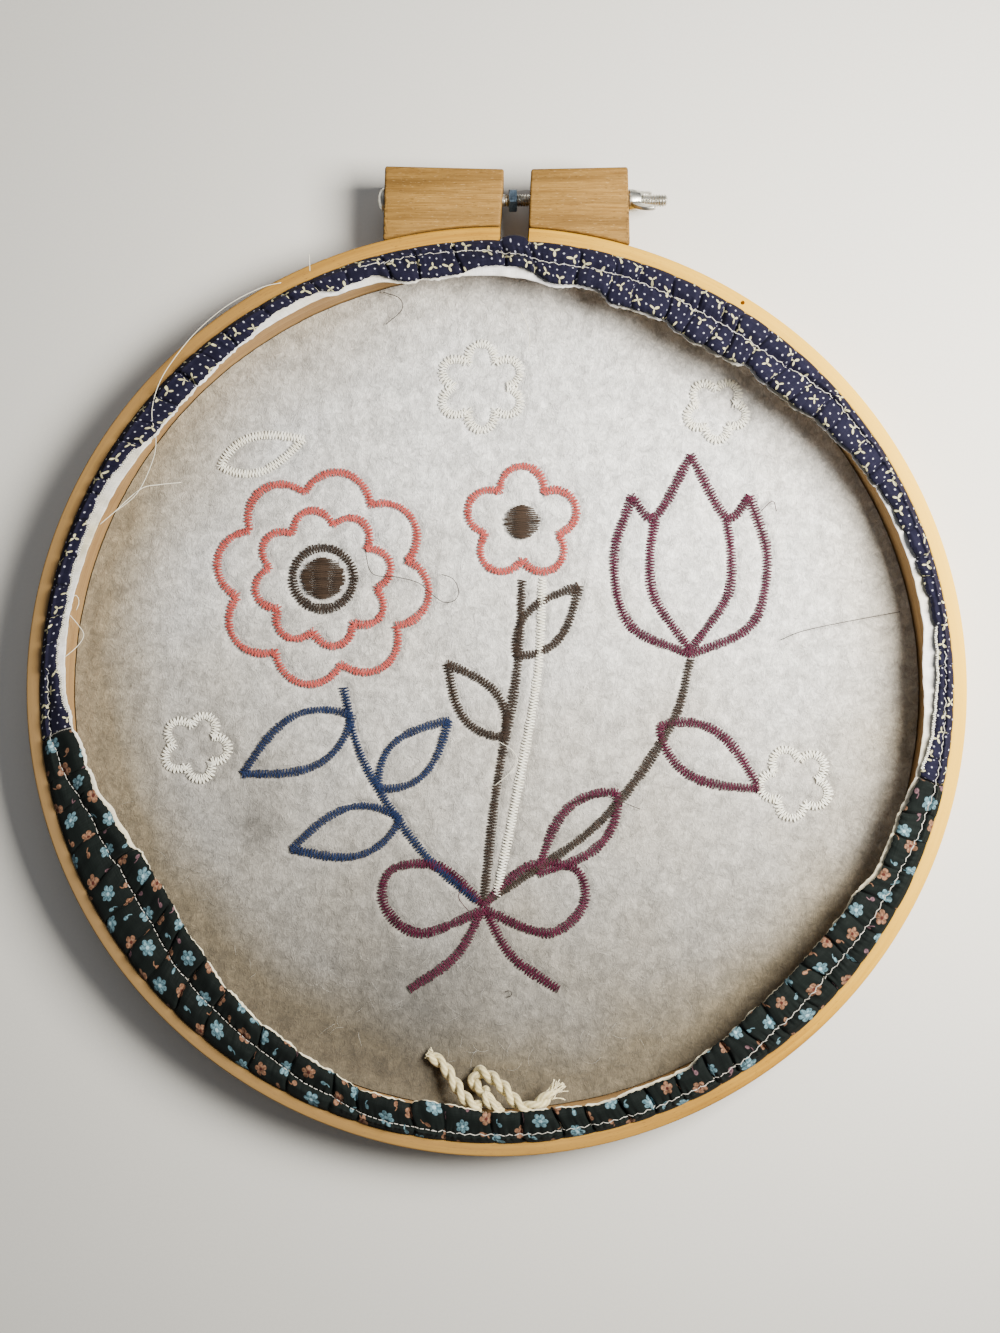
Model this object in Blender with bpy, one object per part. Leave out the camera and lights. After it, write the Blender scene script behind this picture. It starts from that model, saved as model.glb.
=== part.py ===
"""An embroidered cloth held in a wooden hoop, lying face down with its back up.

Two wooden rings hold the cloth. Its edge is drawn over the back of the inner ring as a gathered rim,
with a white lining under it and a knotted cotton drawstring at the bottom. A batting sheet lies in
the well, and two drilled blocks with a bolt, a hex nut and a wing nut clamp the split outer ring.

The origin is the middle of the hoop on the surface it lies on, +Z is up and +Y points to the blocks.
All sizes are in metres and angles in degrees, counted from +X towards +Y.
"""

import math
import random

import bmesh
import bpy
from mathutils import Matrix, Vector

# The hoop
RING_RADIUS = 0.178
RING_WALL = 0.0055
OVAL = 0.988                      # the screw draws the hoop a little shorter along Y
OUTER_RING_BASE = 0.0010
OUTER_RING_TOP = 0.0225
RING_SEGMENTS = 80
EDGE_ROUND = 0.0008
SHARP_ANGLE = 35.0                # faces that meet at more than this keep a crisp edge
GAP_START = 86.0                  # the outer ring is open between these two angles
GAP_END = 89.6

# The cloth and the air between pieces that touch
CLOTH = 0.0010
AIR = 0.0003

# The layers between the two rings, from outside to inside
RIM_DATUM = RING_RADIUS - RING_WALL
WRAP_OUTSIDE = RIM_DATUM - AIR
WRAP_INSIDE = WRAP_OUTSIDE - CLOTH
INNER_RING_OUTSIDE = WRAP_INSIDE - AIR
INNER_RING_INSIDE = INNER_RING_OUTSIDE - RING_WALL

# The layers from the surface upwards
INNER_RING_BASE = CLOTH + AIR
INNER_RING_TOP = 0.0213
INNER_EDGE_ROUND = 0.0017         # the lip that the gathered cloth is drawn over
LINING_BASE = INNER_RING_TOP + AIR
LINING_TOP = LINING_BASE + CLOTH
PRINT_BASE = LINING_TOP + AIR
PRINT_TOP = PRINT_BASE + CLOTH

# The gathered rim. Each row is a fold or scallop of its free edge: its angle, how far the printed
# cloth, the white lining and the casing's stitch line lie inwards from the outer ring, in millimetres.
# A stitch line below zero is hidden between the rings.
RIM_COLUMNS = ("angle", "print", "lining", "stitch")
RIM = (
    (3, 6.4, 11.7, 0.9), (10, 5.5, 9.6, -2.0), (18, 6.6, 9.3, -2.0), (25, 7.7, 9.6, -2.0),
    (32, 10.2, 10.6, 0.0), (40, 13.0, 13.4, 2.8), (45, 16.4, 17.0, 5.3), (50, 17.4, 18.0, 7.7),
    (52, 16.1, 16.5, 8.3), (57, 19.0, 19.4, 8.7), (62, 19.5, 19.9, 8.9), (67, 17.2, 17.8, 7.9),
    (74, 18.1, 18.7, 7.1), (77, 14.2, 14.6, 7.3), (83, 15.3, 16.6, 7.8), (88, 10.2, 14.4, 5.6),
    (92, 10.0, 13.6, 4.2), (97, 12.9, 13.4, 3.9), (103, 12.5, 13.0, 2.3), (107, 7.3, 10.1, 0.5),
    (112, 8.1, 9.6, -2.0), (115, 5.7, 8.5, -2.0), (120, 5.5, 8.7, -2.0), (127, 8.5, 8.8, -2.0),
    (135, 10.0, 10.6, -2.0), (140, 10.4, 10.8, -2.0), (144, 10.3, 11.0, -2.0), (148, 7.6, 10.4, -2.0),
    (153, 5.5, 9.5, -2.0), (162, 6.4, 9.2, -2.0), (170, 7.4, 8.9, -2.0), (176, 6.4, 9.6, 0.0),
    (180, 8.5, 10.2, 1.2), (185, 11.0, 12.1, 2.3), (190, 14.7, 15.1, 5.7), (196, 16.3, 18.0, 10.0),
    (200, 20.0, 21.9, 13.0), (205, 22.1, 24.0, 15.0), (208, 25.2, 25.6, 15.3), (215, 26.3, 26.5, 15.1),
    (223, 24.0, 24.4, 12.3), (230, 20.2, 21.2, 11.0), (238, 17.7, 18.8, 9.1), (247, 15.0, 15.8, 6.3),
    (253, 12.5, 12.9, 3.7), (259, 12.5, 13.0, 2.2), (262, 14.4, 14.7, 2.0), (270, 12.1, 12.5, 1.4),
    (278, 12.2, 12.8, 1.9), (285, 10.4, 11.7, 0.8), (290, 11.5, 13.2, 0.8), (297, 11.5, 13.0, 1.7),
    (300, 13.8, 15.1, 2.5), (302, 14.6, 14.9, 3.7), (310, 17.4, 17.8, 6.2), (320, 18.1, 18.5, 7.6),
    (330, 16.6, 17.8, 6.5), (335, 12.7, 14.2, 5.9), (343, 12.9, 14.0, 4.2), (349, 9.8, 11.2, 3.3),
    (355, 7.7, 11.0, 2.5),
)

# Runs of gathers along the rim, each as its start, its end, its number of pleats and their height.
# The navy cloth takes the runs from the right seam over the top to the left seam.
RIGHT_SEAM = -11.9
LEFT_SEAM = 186.4
NAVY_PLEATS = (
    (RIGHT_SEAM, 15.0, 9, 0.0011), (15.0, 45.0, 9, 0.0012), (45.0, 75.0, 8, 0.0018),
    (75.0, 105.0, 6, 0.0016), (105.0, 135.0, 7, 0.0013), (135.0, LEFT_SEAM, 14, 0.0011),
)
GREEN_PLEATS = (
    (LEFT_SEAM, 225.0, 8, 0.0019), (225.0, 270.0, 8, 0.0018), (270.0, 315.0, 11, 0.0016),
    (315.0, 360.0 + RIGHT_SEAM, 8, 0.0015),
)
NAVY_SEED = 5
GREEN_SEED = 6
PLEAT_JITTER = 0.22               # share of a pleat's width that its crease may wander
PLEAT_HEIGHTS = (0.6, 1.25)       # least and greatest share of its run's height that a pleat takes
PLEAT_FORM = ((0.0, 0.0), (0.17, 0.85), (0.6, 1.0))   # place along the pleat, share of its height
RISE = 1                          # the column of a pleat that only its gathered part needs
PLEAT_SCALLOP = 0.0007            # how far a pleat's crown stands inwards of its crease at the free edge
LEAN_MEAN = -0.9                  # pleats lean clockwise on their way inwards, in degrees for each 15 mm
LEAN_SWING = -0.9
LEAN_REACH = 0.015

# The rows across the rim, from the free edge to the shoulder: the puff above the cloth's base plane
# and the share of the pleat's height that each one takes.
RIM_ROWS = (("tip", 0.0002, 0.90), ("bead", 0.0012, 1.00), ("stitch", 0.0000, 0.55),
            ("middle", 0.0006, 0.90), ("shoulder", 0.0000, 0.25))
BEAD_FROM_EDGE = 0.0026           # middle of the drawstring's casing
BEAD_MOST = 0.3                   # as shares of the rim's width from its free edge
STITCH_SHARES = (0.42, 0.72)
SHOULDER_INSET = 0.0006

# Where each panel turns over the inner ring and down to the front: top radius and height, then under
FRONT_CORNER = 0.0010             # inset of the flat front's corner from the wrap's outside
WRAP_ROWS = (
    (WRAP_OUTSIDE - 0.0003, PRINT_TOP - 0.0003, WRAP_INSIDE - 0.0002, PRINT_BASE - 0.0003),
    (WRAP_OUTSIDE, PRINT_TOP - 0.0011, WRAP_INSIDE, PRINT_BASE - 0.0010),
    (WRAP_OUTSIDE, 0.0014, WRAP_INSIDE, 0.0016),
    (WRAP_OUTSIDE - FRONT_CORNER, 0.0, WRAP_INSIDE - 0.0008, CLOTH),
)

# The white lining under the printed rim: the inset of its hidden outer edge, where it starts to bend
# away from the inner ring's top, its narrowest flat part, and how closely its edge follows the pleats
LINING_INSET = 0.0005
LINING_EDGE_WIDTH = 0.0030
LINING_OVER_RING = 0.0010
LINING_FLAT_LEAST = 0.0020
LINING_DROP = 0.45
LINING_SCALLOP = 0.6

# The batting sheet in the well
BATTING_RADIUS = INNER_RING_INSIDE - 0.0006
BATTING_BASE = CLOTH + AIR
BATTING_THICK = 0.0026
BATTING_SWELL = 0.00035           # height of its low swells, and their turns for each metre along X and Y
BATTING_WAVES = ((41.0, 0.6), (37.0, 1.1))
BATTING_CROSS_WAVE = (0.6, 83.0, 61.0)
BATTING_RINGS = (0.22, 0.45, 0.66, 0.84, 0.955, 1.0)
BATTING_SEGMENTS = 72

# The blocks and their screw, whose axis runs along X
BLOCK_BASE = 0.0010
BLOCK_TOP = 0.0230
BLOCK_ROUND = 0.0009
BLOCK_ROUND_ANGLE = 40.0          # only edges sharper than this are rounded
LEFT_BLOCK = ((0.0012, None), (0.0028, 0.1975), (-0.0422, 0.1986), (-0.0430, None))
RIGHT_BLOCK = ((0.0504, None), (0.0496, 0.1983), (0.0130, 0.1975), (0.0122, None))
BLOCK_ARC_STEPS = 8
SCREW_Y = 0.1890
SCREW_Z = 0.0122
SCREW_RADIUS = 0.0024
SCREW_HEAD_X = -0.0433
SCREW_END_X = 0.0656
HEAD_RADIUS = 0.0046
HEAD_HEIGHT = 0.0025
HEAD_STEPS = 4
SCREW_CHAMFER = 0.0006
BORE_RADIUS = SCREW_RADIUS + AIR
BORE_REACH = 0.0100               # how far the bore's cutter runs on past each end of the screw
ROUND_STEPS = 20
HEX_NUT_X = 0.0046
HEX_NUT_THICK = 0.0032
HEX_NUT_FLATS = 0.0080
HEX_NUT_TURN = 22.0
WING_NUT_X = 0.0508
WING_HUB_LENGTH = 0.0046
WING_HUB_RADII = (0.0042, 0.0036)
WING_HUB_SHOULDER = 0.0012        # length of the hub's straight base, before it narrows
WING_THICK = 0.0014
WING_TURN = 55.0                  # the wings' turn about the screw from lying level
WING_OUTLINE = (                  # along the screw from the hub's base, out from the screw's axis
    (0.0006, 0.0030), (0.0012, 0.0062), (0.0030, 0.0090), (0.0060, 0.0104), (0.0088, 0.0102),
    (0.0098, 0.0088), (0.0088, 0.0072), (0.0062, 0.0060), (0.0045, 0.0046), (0.0042, 0.0030),
)

# The two-strand cotton drawstring. The routes' points are its middle line.
STRING_RADIUS = 0.00175
STRING_LOBE = 0.00035             # how far the two strands stand out of the mean radius
STRING_PITCH = 0.0110             # length of one full twist
STRING_STEP = 0.0011
STRING_SIDES = 8
ROUTE_FINE = 24                   # fine steps between two points of a route
KNOT_CENTRE = Vector((-0.0010, -0.1584, 0.0172))
KNOT_RADII = Vector((0.0042, 0.0029, 0.0029))
KNOT_GROOVE = 0.10                # depth of the grooves between its strands, as a share of its radius
KNOT_WIND = 5.0                   # how fast the grooves wind along the knot
END_ROUTE = (
    (-0.0058, -0.1590, 0.0176), (-0.0102, -0.1574, 0.0166), (-0.0141, -0.1541, 0.0132),
    (-0.0176, -0.1495, 0.0098), (-0.0207, -0.1455, 0.0075), (-0.0244, -0.1431, 0.0064),
    (-0.0266, -0.1421, 0.0062),
)
LOOP_ROUTE = (
    (-0.0036, -0.1548, 0.0126), (-0.0070, -0.1543, 0.0094), (-0.0090, -0.1510, 0.0070),
    (-0.0066, -0.1480, 0.0076), (-0.0020, -0.1494, 0.0106), (0.0024, -0.1521, 0.0138),
    (0.0056, -0.1550, 0.0164), (0.0084, -0.1576, 0.0182), (0.0116, -0.1586, 0.0188),
    (0.0148, -0.1578, 0.0184), (0.0181, -0.1558, 0.0174), (0.0208, -0.1540, 0.0160),
)

# Colours as linear red, green and blue
HOOP_WOOD = (0.66, 0.45, 0.22)
BLOCK_WOOD = (0.52, 0.34, 0.15)
ZINC = (0.62, 0.63, 0.60)
STEEL = (0.30, 0.35, 0.40)
NAVY = (0.018, 0.018, 0.055)
GREEN = (0.010, 0.019, 0.018)
WHITE = (0.78, 0.77, 0.72)
BATTING = (0.52, 0.50, 0.48)
COTTON = (0.68, 0.62, 0.42)


def clear_scene():
    for thing in list(bpy.data.objects):
        bpy.data.objects.remove(thing, do_unlink=True)


def finish(name, colour, roughness, metallic=0.0):
    made = bpy.data.materials.new(name)
    made.use_nodes = True
    shader = made.node_tree.nodes["Principled BSDF"]
    shader.inputs["Base Color"].default_value = (*colour, 1.0)
    shader.inputs["Roughness"].default_value = roughness
    shader.inputs["Metallic"].default_value = metallic
    return made


def add_solid(name, shape, look):
    """Turn a bmesh into an object, with its faces pointing out and its round sides smooth."""
    bmesh.ops.recalc_face_normals(shape, faces=shape.faces)
    mesh = bpy.data.meshes.new(name)
    shape.to_mesh(mesh)
    shape.free()
    mesh.materials.append(look)
    mesh.shade_smooth()
    mesh.set_sharp_from_angle(angle=math.radians(SHARP_ANGLE))
    thing = bpy.data.objects.new(name, mesh)
    bpy.context.scene.collection.objects.link(thing)
    return thing


def around(angle, radius, height):
    turn = math.radians(angle)
    return Vector((radius * math.cos(turn), OVAL * radius * math.sin(turn), height))


def rim_at(angle, column):
    """One column of the rim's table at any angle, in metres, easing smoothly from row to row."""
    place = RIM_COLUMNS.index(column)
    angle %= 360.0
    if angle < RIM[0][0]:
        angle += 360.0
    rows = RIM + ((RIM[0][0] + 360.0,) + RIM[0][1:],)
    for low, high in zip(rows, rows[1:]):
        if angle <= high[0]:
            share = (angle - low[0]) / (high[0] - low[0])
            share = share * share * (3.0 - 2.0 * share)
            return (low[place] + share * (high[place] - low[place])) / 1000.0
    raise ValueError("the rim's table doesn't reach this angle")


def rim_point(angle, radius, height):
    """A point of the gathered rim, whose folds lean clockwise as they run inwards."""
    lean = LEAN_MEAN + LEAN_SWING * math.cos(math.radians(angle - LEFT_SEAM))
    return around(angle + lean * (RIM_DATUM - radius) / LEAN_REACH, radius, height)


def ring_section(inside, outside, base, top, lip):
    """A ring's cross-section as radius and height pairs, with rounded edges and a wider inner lip."""
    r = EDGE_ROUND
    return ((inside + r, base), (outside - r, base), (outside, base + r), (outside, top - r),
            (outside - r, top), (inside + lip, top), (inside, top - lip), (inside, base + r))


def swept_ring(name, section, look, start=0.0, end=360.0):
    """Sweep a cross-section round the hoop. A full turn closes on itself, a part turn is capped."""
    shape = bmesh.new()
    closed = end - start >= 360.0
    steps = RING_SEGMENTS
    loops = []
    for step in range(steps if closed else steps + 1):
        angle = start + (end - start) * step / steps
        loops.append([shape.verts.new(around(angle, radius, height)) for radius, height in section])
    pairs = zip(loops, loops[1:] + loops[:1]) if closed else zip(loops, loops[1:])
    for near, far in pairs:
        for i in range(len(section)):
            j = (i + 1) % len(section)
            shape.faces.new((near[i], near[j], far[j], far[i]))
    if not closed:
        shape.faces.new(loops[0])
        shape.faces.new(loops[-1])
    return add_solid(name, shape, look)


def pleat_columns(runs, seed):
    """The fine columns of a run of pleats: angle and lift, three to a pleat and one at the far seam."""
    rng = random.Random(seed)
    creases = []
    for start, end, count, height in runs:
        for i in range(count):
            wander = rng.uniform(-PLEAT_JITTER, PLEAT_JITTER) if i else 0.0
            angle = start + (end - start) * (i + wander) / count
            creases.append((angle, height * rng.uniform(*PLEAT_HEIGHTS)))
    creases.append((runs[-1][1], 0.0))
    columns = []
    for (angle, height), (following, _) in zip(creases, creases[1:]):
        for place, share in PLEAT_FORM:
            columns.append((angle + place * (following - angle), share * height, share))
    columns.append((creases[-1][0], 0.0, 0.0))
    return columns


def rim_radii(angle, crown):
    """The radius of each row across the rim at one angle, from the free edge to the shoulder."""
    shoulder = WRAP_INSIDE - SHOULDER_INSET
    tip = RIM_DATUM - rim_at(angle, "print") + PLEAT_SCALLOP * (0.5 - crown)
    width = shoulder - tip
    bead = min(BEAD_FROM_EDGE / width, BEAD_MOST)
    stitch = (RIM_DATUM - rim_at(angle, "stitch") - tip) / width
    stitch = min(max(stitch, STITCH_SHARES[0]), STITCH_SHARES[1])
    middle = (stitch + 1.0) / 2.0
    return [tip + share * width for share in (0.0, bead, stitch, middle, 1.0)]


def cloth_panel(name, runs, front_middle, look, seed):
    """One printed panel: gathered rim, wrap over the inner ring and its half of the flat front.

    Each column is a list of rows from the rim's free edge to the bottom corner, for the cloth's top
    face and for its under face. The front is a fan of faces to the middle of the seam.
    """
    shape = bmesh.new()
    seam_angle = math.degrees(AIR / 2.0 / RIM_DATUM)
    columns = pleat_columns(runs, seed)
    columns[0] = (columns[0][0] + seam_angle, 0.0, 0.0)
    columns[-1] = (columns[-1][0] - seam_angle, 0.0, 0.0)
    fine = {"top": [], "under": []}
    coarse = {"top": [], "under": []}
    for number, (angle, lift, crown) in enumerate(columns):
        radii = rim_radii(angle, crown)
        for side, base in (("top", PRINT_TOP), ("under", PRINT_BASE)):
            fine[side].append([
                shape.verts.new(rim_point(angle, radius, base + puff + share * lift))
                for radius, (_, puff, share) in zip(radii, RIM_ROWS)
            ])
        if number % len(PLEAT_FORM) == RISE:
            continue
        for side, first in (("top", 0), ("under", 2)):
            coarse[side].append([shape.verts.new(around(angle, row[first], row[first + 1]))
                                 for row in WRAP_ROWS])
    middle = {"top": shape.verts.new(front_middle), "under": shape.verts.new(front_middle)}
    middle["under"].co.z = CLOTH
    for side in ("top", "under"):
        for near, far in zip(fine[side], fine[side][1:]):
            for i in range(len(RIM_ROWS) - 1):
                shape.faces.new((near[i], near[i + 1], far[i + 1], far[i]))
        for number, (near, far) in enumerate(zip(coarse[side], coarse[side][1:])):
            first = number // 2 * len(PLEAT_FORM)
            if number % 2:
                crown, crease = (column[-1] for column in fine[side][first + 2:first + 4])
                shape.faces.new((near[0], crown, crease, far[0]))
            else:
                crease, rise, crown = (column[-1] for column in fine[side][first:first + 3])
                shape.faces.new((near[0], crease, rise))
                shape.faces.new((near[0], rise, far[0]))
                shape.faces.new((far[0], rise, crown))
            for i in range(len(WRAP_ROWS) - 1):
                shape.faces.new((near[i], near[i + 1], far[i + 1], far[i]))
            shape.faces.new((near[-1], far[-1], middle[side]))
    for near, far in zip(zip(fine["top"], fine["under"]), zip(fine["top"][1:], fine["under"][1:])):
        shape.faces.new((near[0][0], far[0][0], far[1][0], near[1][0]))
    for end in (0, -1):
        top = fine["top"][end] + coarse["top"][end] + [middle["top"]]
        under = fine["under"][end] + coarse["under"][end] + [middle["under"]]
        for i in range(len(top) - 1):
            shape.faces.new((top[i], top[i + 1], under[i + 1], under[i]))
    return add_solid(name, shape, look)


def front_seam_middle(towards):
    """The middle of the straight seam across the front, moved half a gap towards one panel."""
    radius = WRAP_OUTSIDE - FRONT_CORNER
    right = around(RIGHT_SEAM, radius, 0.0)
    left = around(LEFT_SEAM, radius, 0.0)
    across = (right - left).normalized()
    side = Vector((-across.y, across.x, 0.0))
    return (left + right) / 2.0 + side * (towards * AIR / 2.0)


def white_lining(look):
    """A flat ring under the printed rim, waved at its free edge by the gathers above it."""
    shape = bmesh.new()
    outer = INNER_RING_OUTSIDE - LINING_INSET
    loops = []
    columns = pleat_columns(NAVY_PLEATS, NAVY_SEED)[:-1] + pleat_columns(GREEN_PLEATS, GREEN_SEED)[:-1]
    for angle, lift, crown in columns:
        if crown == PLEAT_FORM[RISE][1]:
            continue
        edge = RIM_DATUM - rim_at(angle, "lining") + LINING_SCALLOP * PLEAT_SCALLOP * (0.5 - crown)
        middle = max(edge + LINING_EDGE_WIDTH, INNER_RING_INSIDE - LINING_OVER_RING)
        middle = min(middle, outer - LINING_FLAT_LEAST)
        drop = LINING_DROP * lift
        section = ((outer, LINING_TOP), (middle, LINING_TOP), (edge, LINING_TOP - drop),
                   (edge, LINING_BASE - drop), (middle, LINING_BASE), (outer, LINING_BASE))
        loops.append([shape.verts.new(rim_point(angle, *point)) for point in section])
    for near, far in zip(loops, loops[1:] + loops[:1]):
        for i in range(len(near)):
            j = (i + 1) % len(near)
            shape.faces.new((near[i], near[j], far[j], far[i]))
    return add_solid("white_lining", shape, look)


def batting_height(x, y):
    """The uneven top of the batting: low swells that die out at its rim."""
    (turn_x, start_x), (turn_y, start_y) = BATTING_WAVES
    cross, cross_x, cross_y = BATTING_CROSS_WAVE
    swell = math.sin(turn_x * x + start_x) * math.sin(turn_y * y + start_y)
    swell += cross * math.sin(cross_x * x - cross_y * y)
    calm = 1.0 - (math.hypot(x, y / OVAL) / BATTING_RADIUS) ** 4
    return BATTING_BASE + BATTING_THICK + BATTING_SWELL * swell * max(calm, 0.0)


def batting_sheet(look):
    shape = bmesh.new()
    loops = []
    for share in BATTING_RINGS:
        loop = []
        for step in range(BATTING_SEGMENTS):
            point = around(360.0 * step / BATTING_SEGMENTS, share * BATTING_RADIUS, 0.0)
            point.z = batting_height(point.x, point.y)
            loop.append(shape.verts.new(point))
        loops.append(loop)
    base = [shape.verts.new((vert.co.x, vert.co.y, BATTING_BASE)) for vert in loops[-1]]
    loops.append(base)
    for near, far in zip(loops, loops[1:]):
        for i in range(BATTING_SEGMENTS):
            j = (i + 1) % BATTING_SEGMENTS
            shape.faces.new((near[i], near[j], far[j], far[i]))
    crown = shape.verts.new((0.0, 0.0, batting_height(0.0, 0.0)))
    under = shape.verts.new((0.0, 0.0, BATTING_BASE))
    for i in range(BATTING_SEGMENTS):
        j = (i + 1) % BATTING_SEGMENTS
        shape.faces.new((crown, loops[0][i], loops[0][j]))
        shape.faces.new((under, base[i], base[j]))
    return add_solid("batting_sheet", shape, look)


def screw_cylinder(name, radius, start, end):
    """A hidden cutter along the screw's axis."""
    bpy.ops.mesh.primitive_cylinder_add(vertices=ROUND_STEPS, radius=radius, depth=end - start)
    cutter = bpy.context.object
    cutter.name = name
    cutter.rotation_euler = (0.0, math.pi / 2.0, 0.0)
    cutter.location = ((start + end) / 2.0, SCREW_Y, SCREW_Z)
    cutter.hide_render = True
    cutter.display_type = "WIRE"
    return cutter


def add_boolean(thing, other, operation):
    modifier = thing.modifiers.new(operation.title(), "BOOLEAN")
    modifier.operation = operation
    modifier.object = other


def block(name, corners, look, bore):
    """A tension block whose foot follows the outer ring, rounded at its edges and drilled."""
    shape = bmesh.new()
    first, last = corners[0][0], corners[-1][0]
    reach = RING_RADIUS + AIR
    outline = []
    for step in range(BLOCK_ARC_STEPS + 1):
        x = last + (first - last) * step / BLOCK_ARC_STEPS
        outline.append((x, OVAL * math.sqrt(reach * reach - x * x)))
    outline += [corners[1], corners[2]]
    loops = [[shape.verts.new((x, y, z)) for x, y in outline] for z in (BLOCK_BASE, BLOCK_TOP)]
    for i in range(len(outline)):
        j = (i + 1) % len(outline)
        shape.faces.new((loops[0][i], loops[0][j], loops[1][j], loops[1][i]))
    for loop in loops:
        shape.faces.new(loop)
    thing = add_solid(name, shape, look)
    rounding = thing.modifiers.new("Rounded edges", "BEVEL")
    rounding.width = BLOCK_ROUND
    rounding.segments = 2
    rounding.limit_method = "ANGLE"
    rounding.angle_limit = math.radians(BLOCK_ROUND_ANGLE)
    add_boolean(thing, bore, "DIFFERENCE")
    return thing


def turned_along_screw(name, profile, look):
    """Turn a profile of (x, radius) pairs about the screw. A zero radius closes an end."""
    shape = bmesh.new()
    loops = []
    for x, radius in profile:
        if radius == 0.0:
            loops.append([shape.verts.new((x, SCREW_Y, SCREW_Z))])
            continue
        turns = [2.0 * math.pi * step / ROUND_STEPS for step in range(ROUND_STEPS)]
        loops.append([shape.verts.new((x, SCREW_Y + radius * math.cos(t), SCREW_Z + radius * math.sin(t)))
                      for t in turns])
    for near, far in zip(loops, loops[1:]):
        for i in range(ROUND_STEPS):
            j = (i + 1) % ROUND_STEPS
            corners = [near[i % len(near)], near[j % len(near)], far[j % len(far)], far[i % len(far)]]
            shape.faces.new(list(dict.fromkeys(corners)))
    return add_solid(name, shape, look)


def bolt(look):
    """A round-headed machine screw, its end chamfered."""
    dome = []
    for step in range(HEAD_STEPS + 1):
        turn = math.pi / 2.0 * step / HEAD_STEPS
        dome.append((SCREW_HEAD_X - HEAD_HEIGHT * math.cos(turn), HEAD_RADIUS * math.sin(turn)))
    dome[0] = (dome[0][0], 0.0)
    shaft = [(SCREW_HEAD_X, SCREW_RADIUS), (SCREW_END_X - SCREW_CHAMFER, SCREW_RADIUS),
             (SCREW_END_X, SCREW_RADIUS - SCREW_CHAMFER), (SCREW_END_X, 0.0)]
    return turned_along_screw("bolt", dome + shaft, look)


def hex_nut(look, bore):
    """A plain hexagon nut, turned on the screw as it came to rest."""
    shape = bmesh.new()
    corner = HEX_NUT_FLATS / 2.0 / math.cos(math.pi / 6.0)
    bmesh.ops.create_cone(shape, cap_ends=True, segments=6, radius1=corner, radius2=corner,
                          depth=HEX_NUT_THICK)
    spin = Matrix.Rotation(math.radians(HEX_NUT_TURN), 4, "X") @ Matrix.Rotation(math.pi / 2.0, 4, "Y")
    middle = Vector((HEX_NUT_X + HEX_NUT_THICK / 2.0, SCREW_Y, SCREW_Z))
    bmesh.ops.transform(shape, matrix=Matrix.Translation(middle) @ spin, verts=shape.verts)
    nut = add_solid("hex_nut", shape, look)
    add_boolean(nut, bore, "DIFFERENCE")
    return nut


def wing(name, direction, look):
    """One wing of the wing nut, a plate standing out from the hub, as a hidden piece for a union."""
    shape = bmesh.new()
    out = Vector((0.0, math.cos(math.radians(direction)), math.sin(math.radians(direction))))
    thick = Vector((0.0, -out.z, out.y)) * (WING_THICK / 2.0)
    root = Vector((WING_NUT_X, SCREW_Y, SCREW_Z))
    loops = []
    for side in (-1.0, 1.0):
        loops.append([shape.verts.new(root + Vector((along, 0.0, 0.0)) + out * away + thick * side)
                      for along, away in WING_OUTLINE])
    count = len(WING_OUTLINE)
    for i in range(count):
        j = (i + 1) % count
        shape.faces.new((loops[0][i], loops[0][j], loops[1][j], loops[1][i]))
    for loop in loops:
        shape.faces.new(loop)
    plate = add_solid(name, shape, look)
    plate.hide_render = True
    plate.display_type = "WIRE"
    return plate


def wing_nut(look, bore):
    """A wing nut with its origin on the screw's axis, about which it turns."""
    base, nose = WING_HUB_RADII
    end = WING_NUT_X + WING_HUB_LENGTH
    profile = [(WING_NUT_X, 0.0), (WING_NUT_X, base), (WING_NUT_X + WING_HUB_SHOULDER, base),
               (end, nose), (end, 0.0)]
    nut = turned_along_screw("wing_nut", profile, look)
    for number, turn in enumerate((WING_TURN + 180.0, WING_TURN)):
        add_boolean(nut, wing(f"wing_{number}", -turn, look), "UNION")
    add_boolean(nut, bore, "DIFFERENCE")
    pivot = Vector((WING_NUT_X, SCREW_Y, SCREW_Z))
    nut.data.transform(Matrix.Translation(-pivot))
    nut.location = pivot
    return nut


def smooth_route(points, step):
    """Evenly spaced points on a smooth curve through a route's own points."""
    rows = [Vector(point) for point in points]
    rows = [2.0 * rows[0] - rows[1]] + rows + [2.0 * rows[-1] - rows[-2]]
    dense = []
    for a, b, c, d in zip(rows, rows[1:], rows[2:], rows[3:]):
        for i in range(ROUTE_FINE):
            t = i / ROUTE_FINE
            dense.append(0.5 * (2.0 * b + (c - a) * t + (2.0 * a - 5.0 * b + 4.0 * c - d) * t * t
                                + (3.0 * b - a - 3.0 * c + d) * t * t * t))
    dense.append(rows[-2])
    lengths = [0.0]
    for near, far in zip(dense, dense[1:]):
        lengths.append(lengths[-1] + (far - near).length)
    count = round(lengths[-1] / step)
    even = []
    place = 0
    for i in range(count + 1):
        want = lengths[-1] * i / count
        while place < len(lengths) - 2 and lengths[place + 1] < want:
            place += 1
        share = (want - lengths[place]) / (lengths[place + 1] - lengths[place])
        even.append(dense[place].lerp(dense[place + 1], share))
    return even


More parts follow.
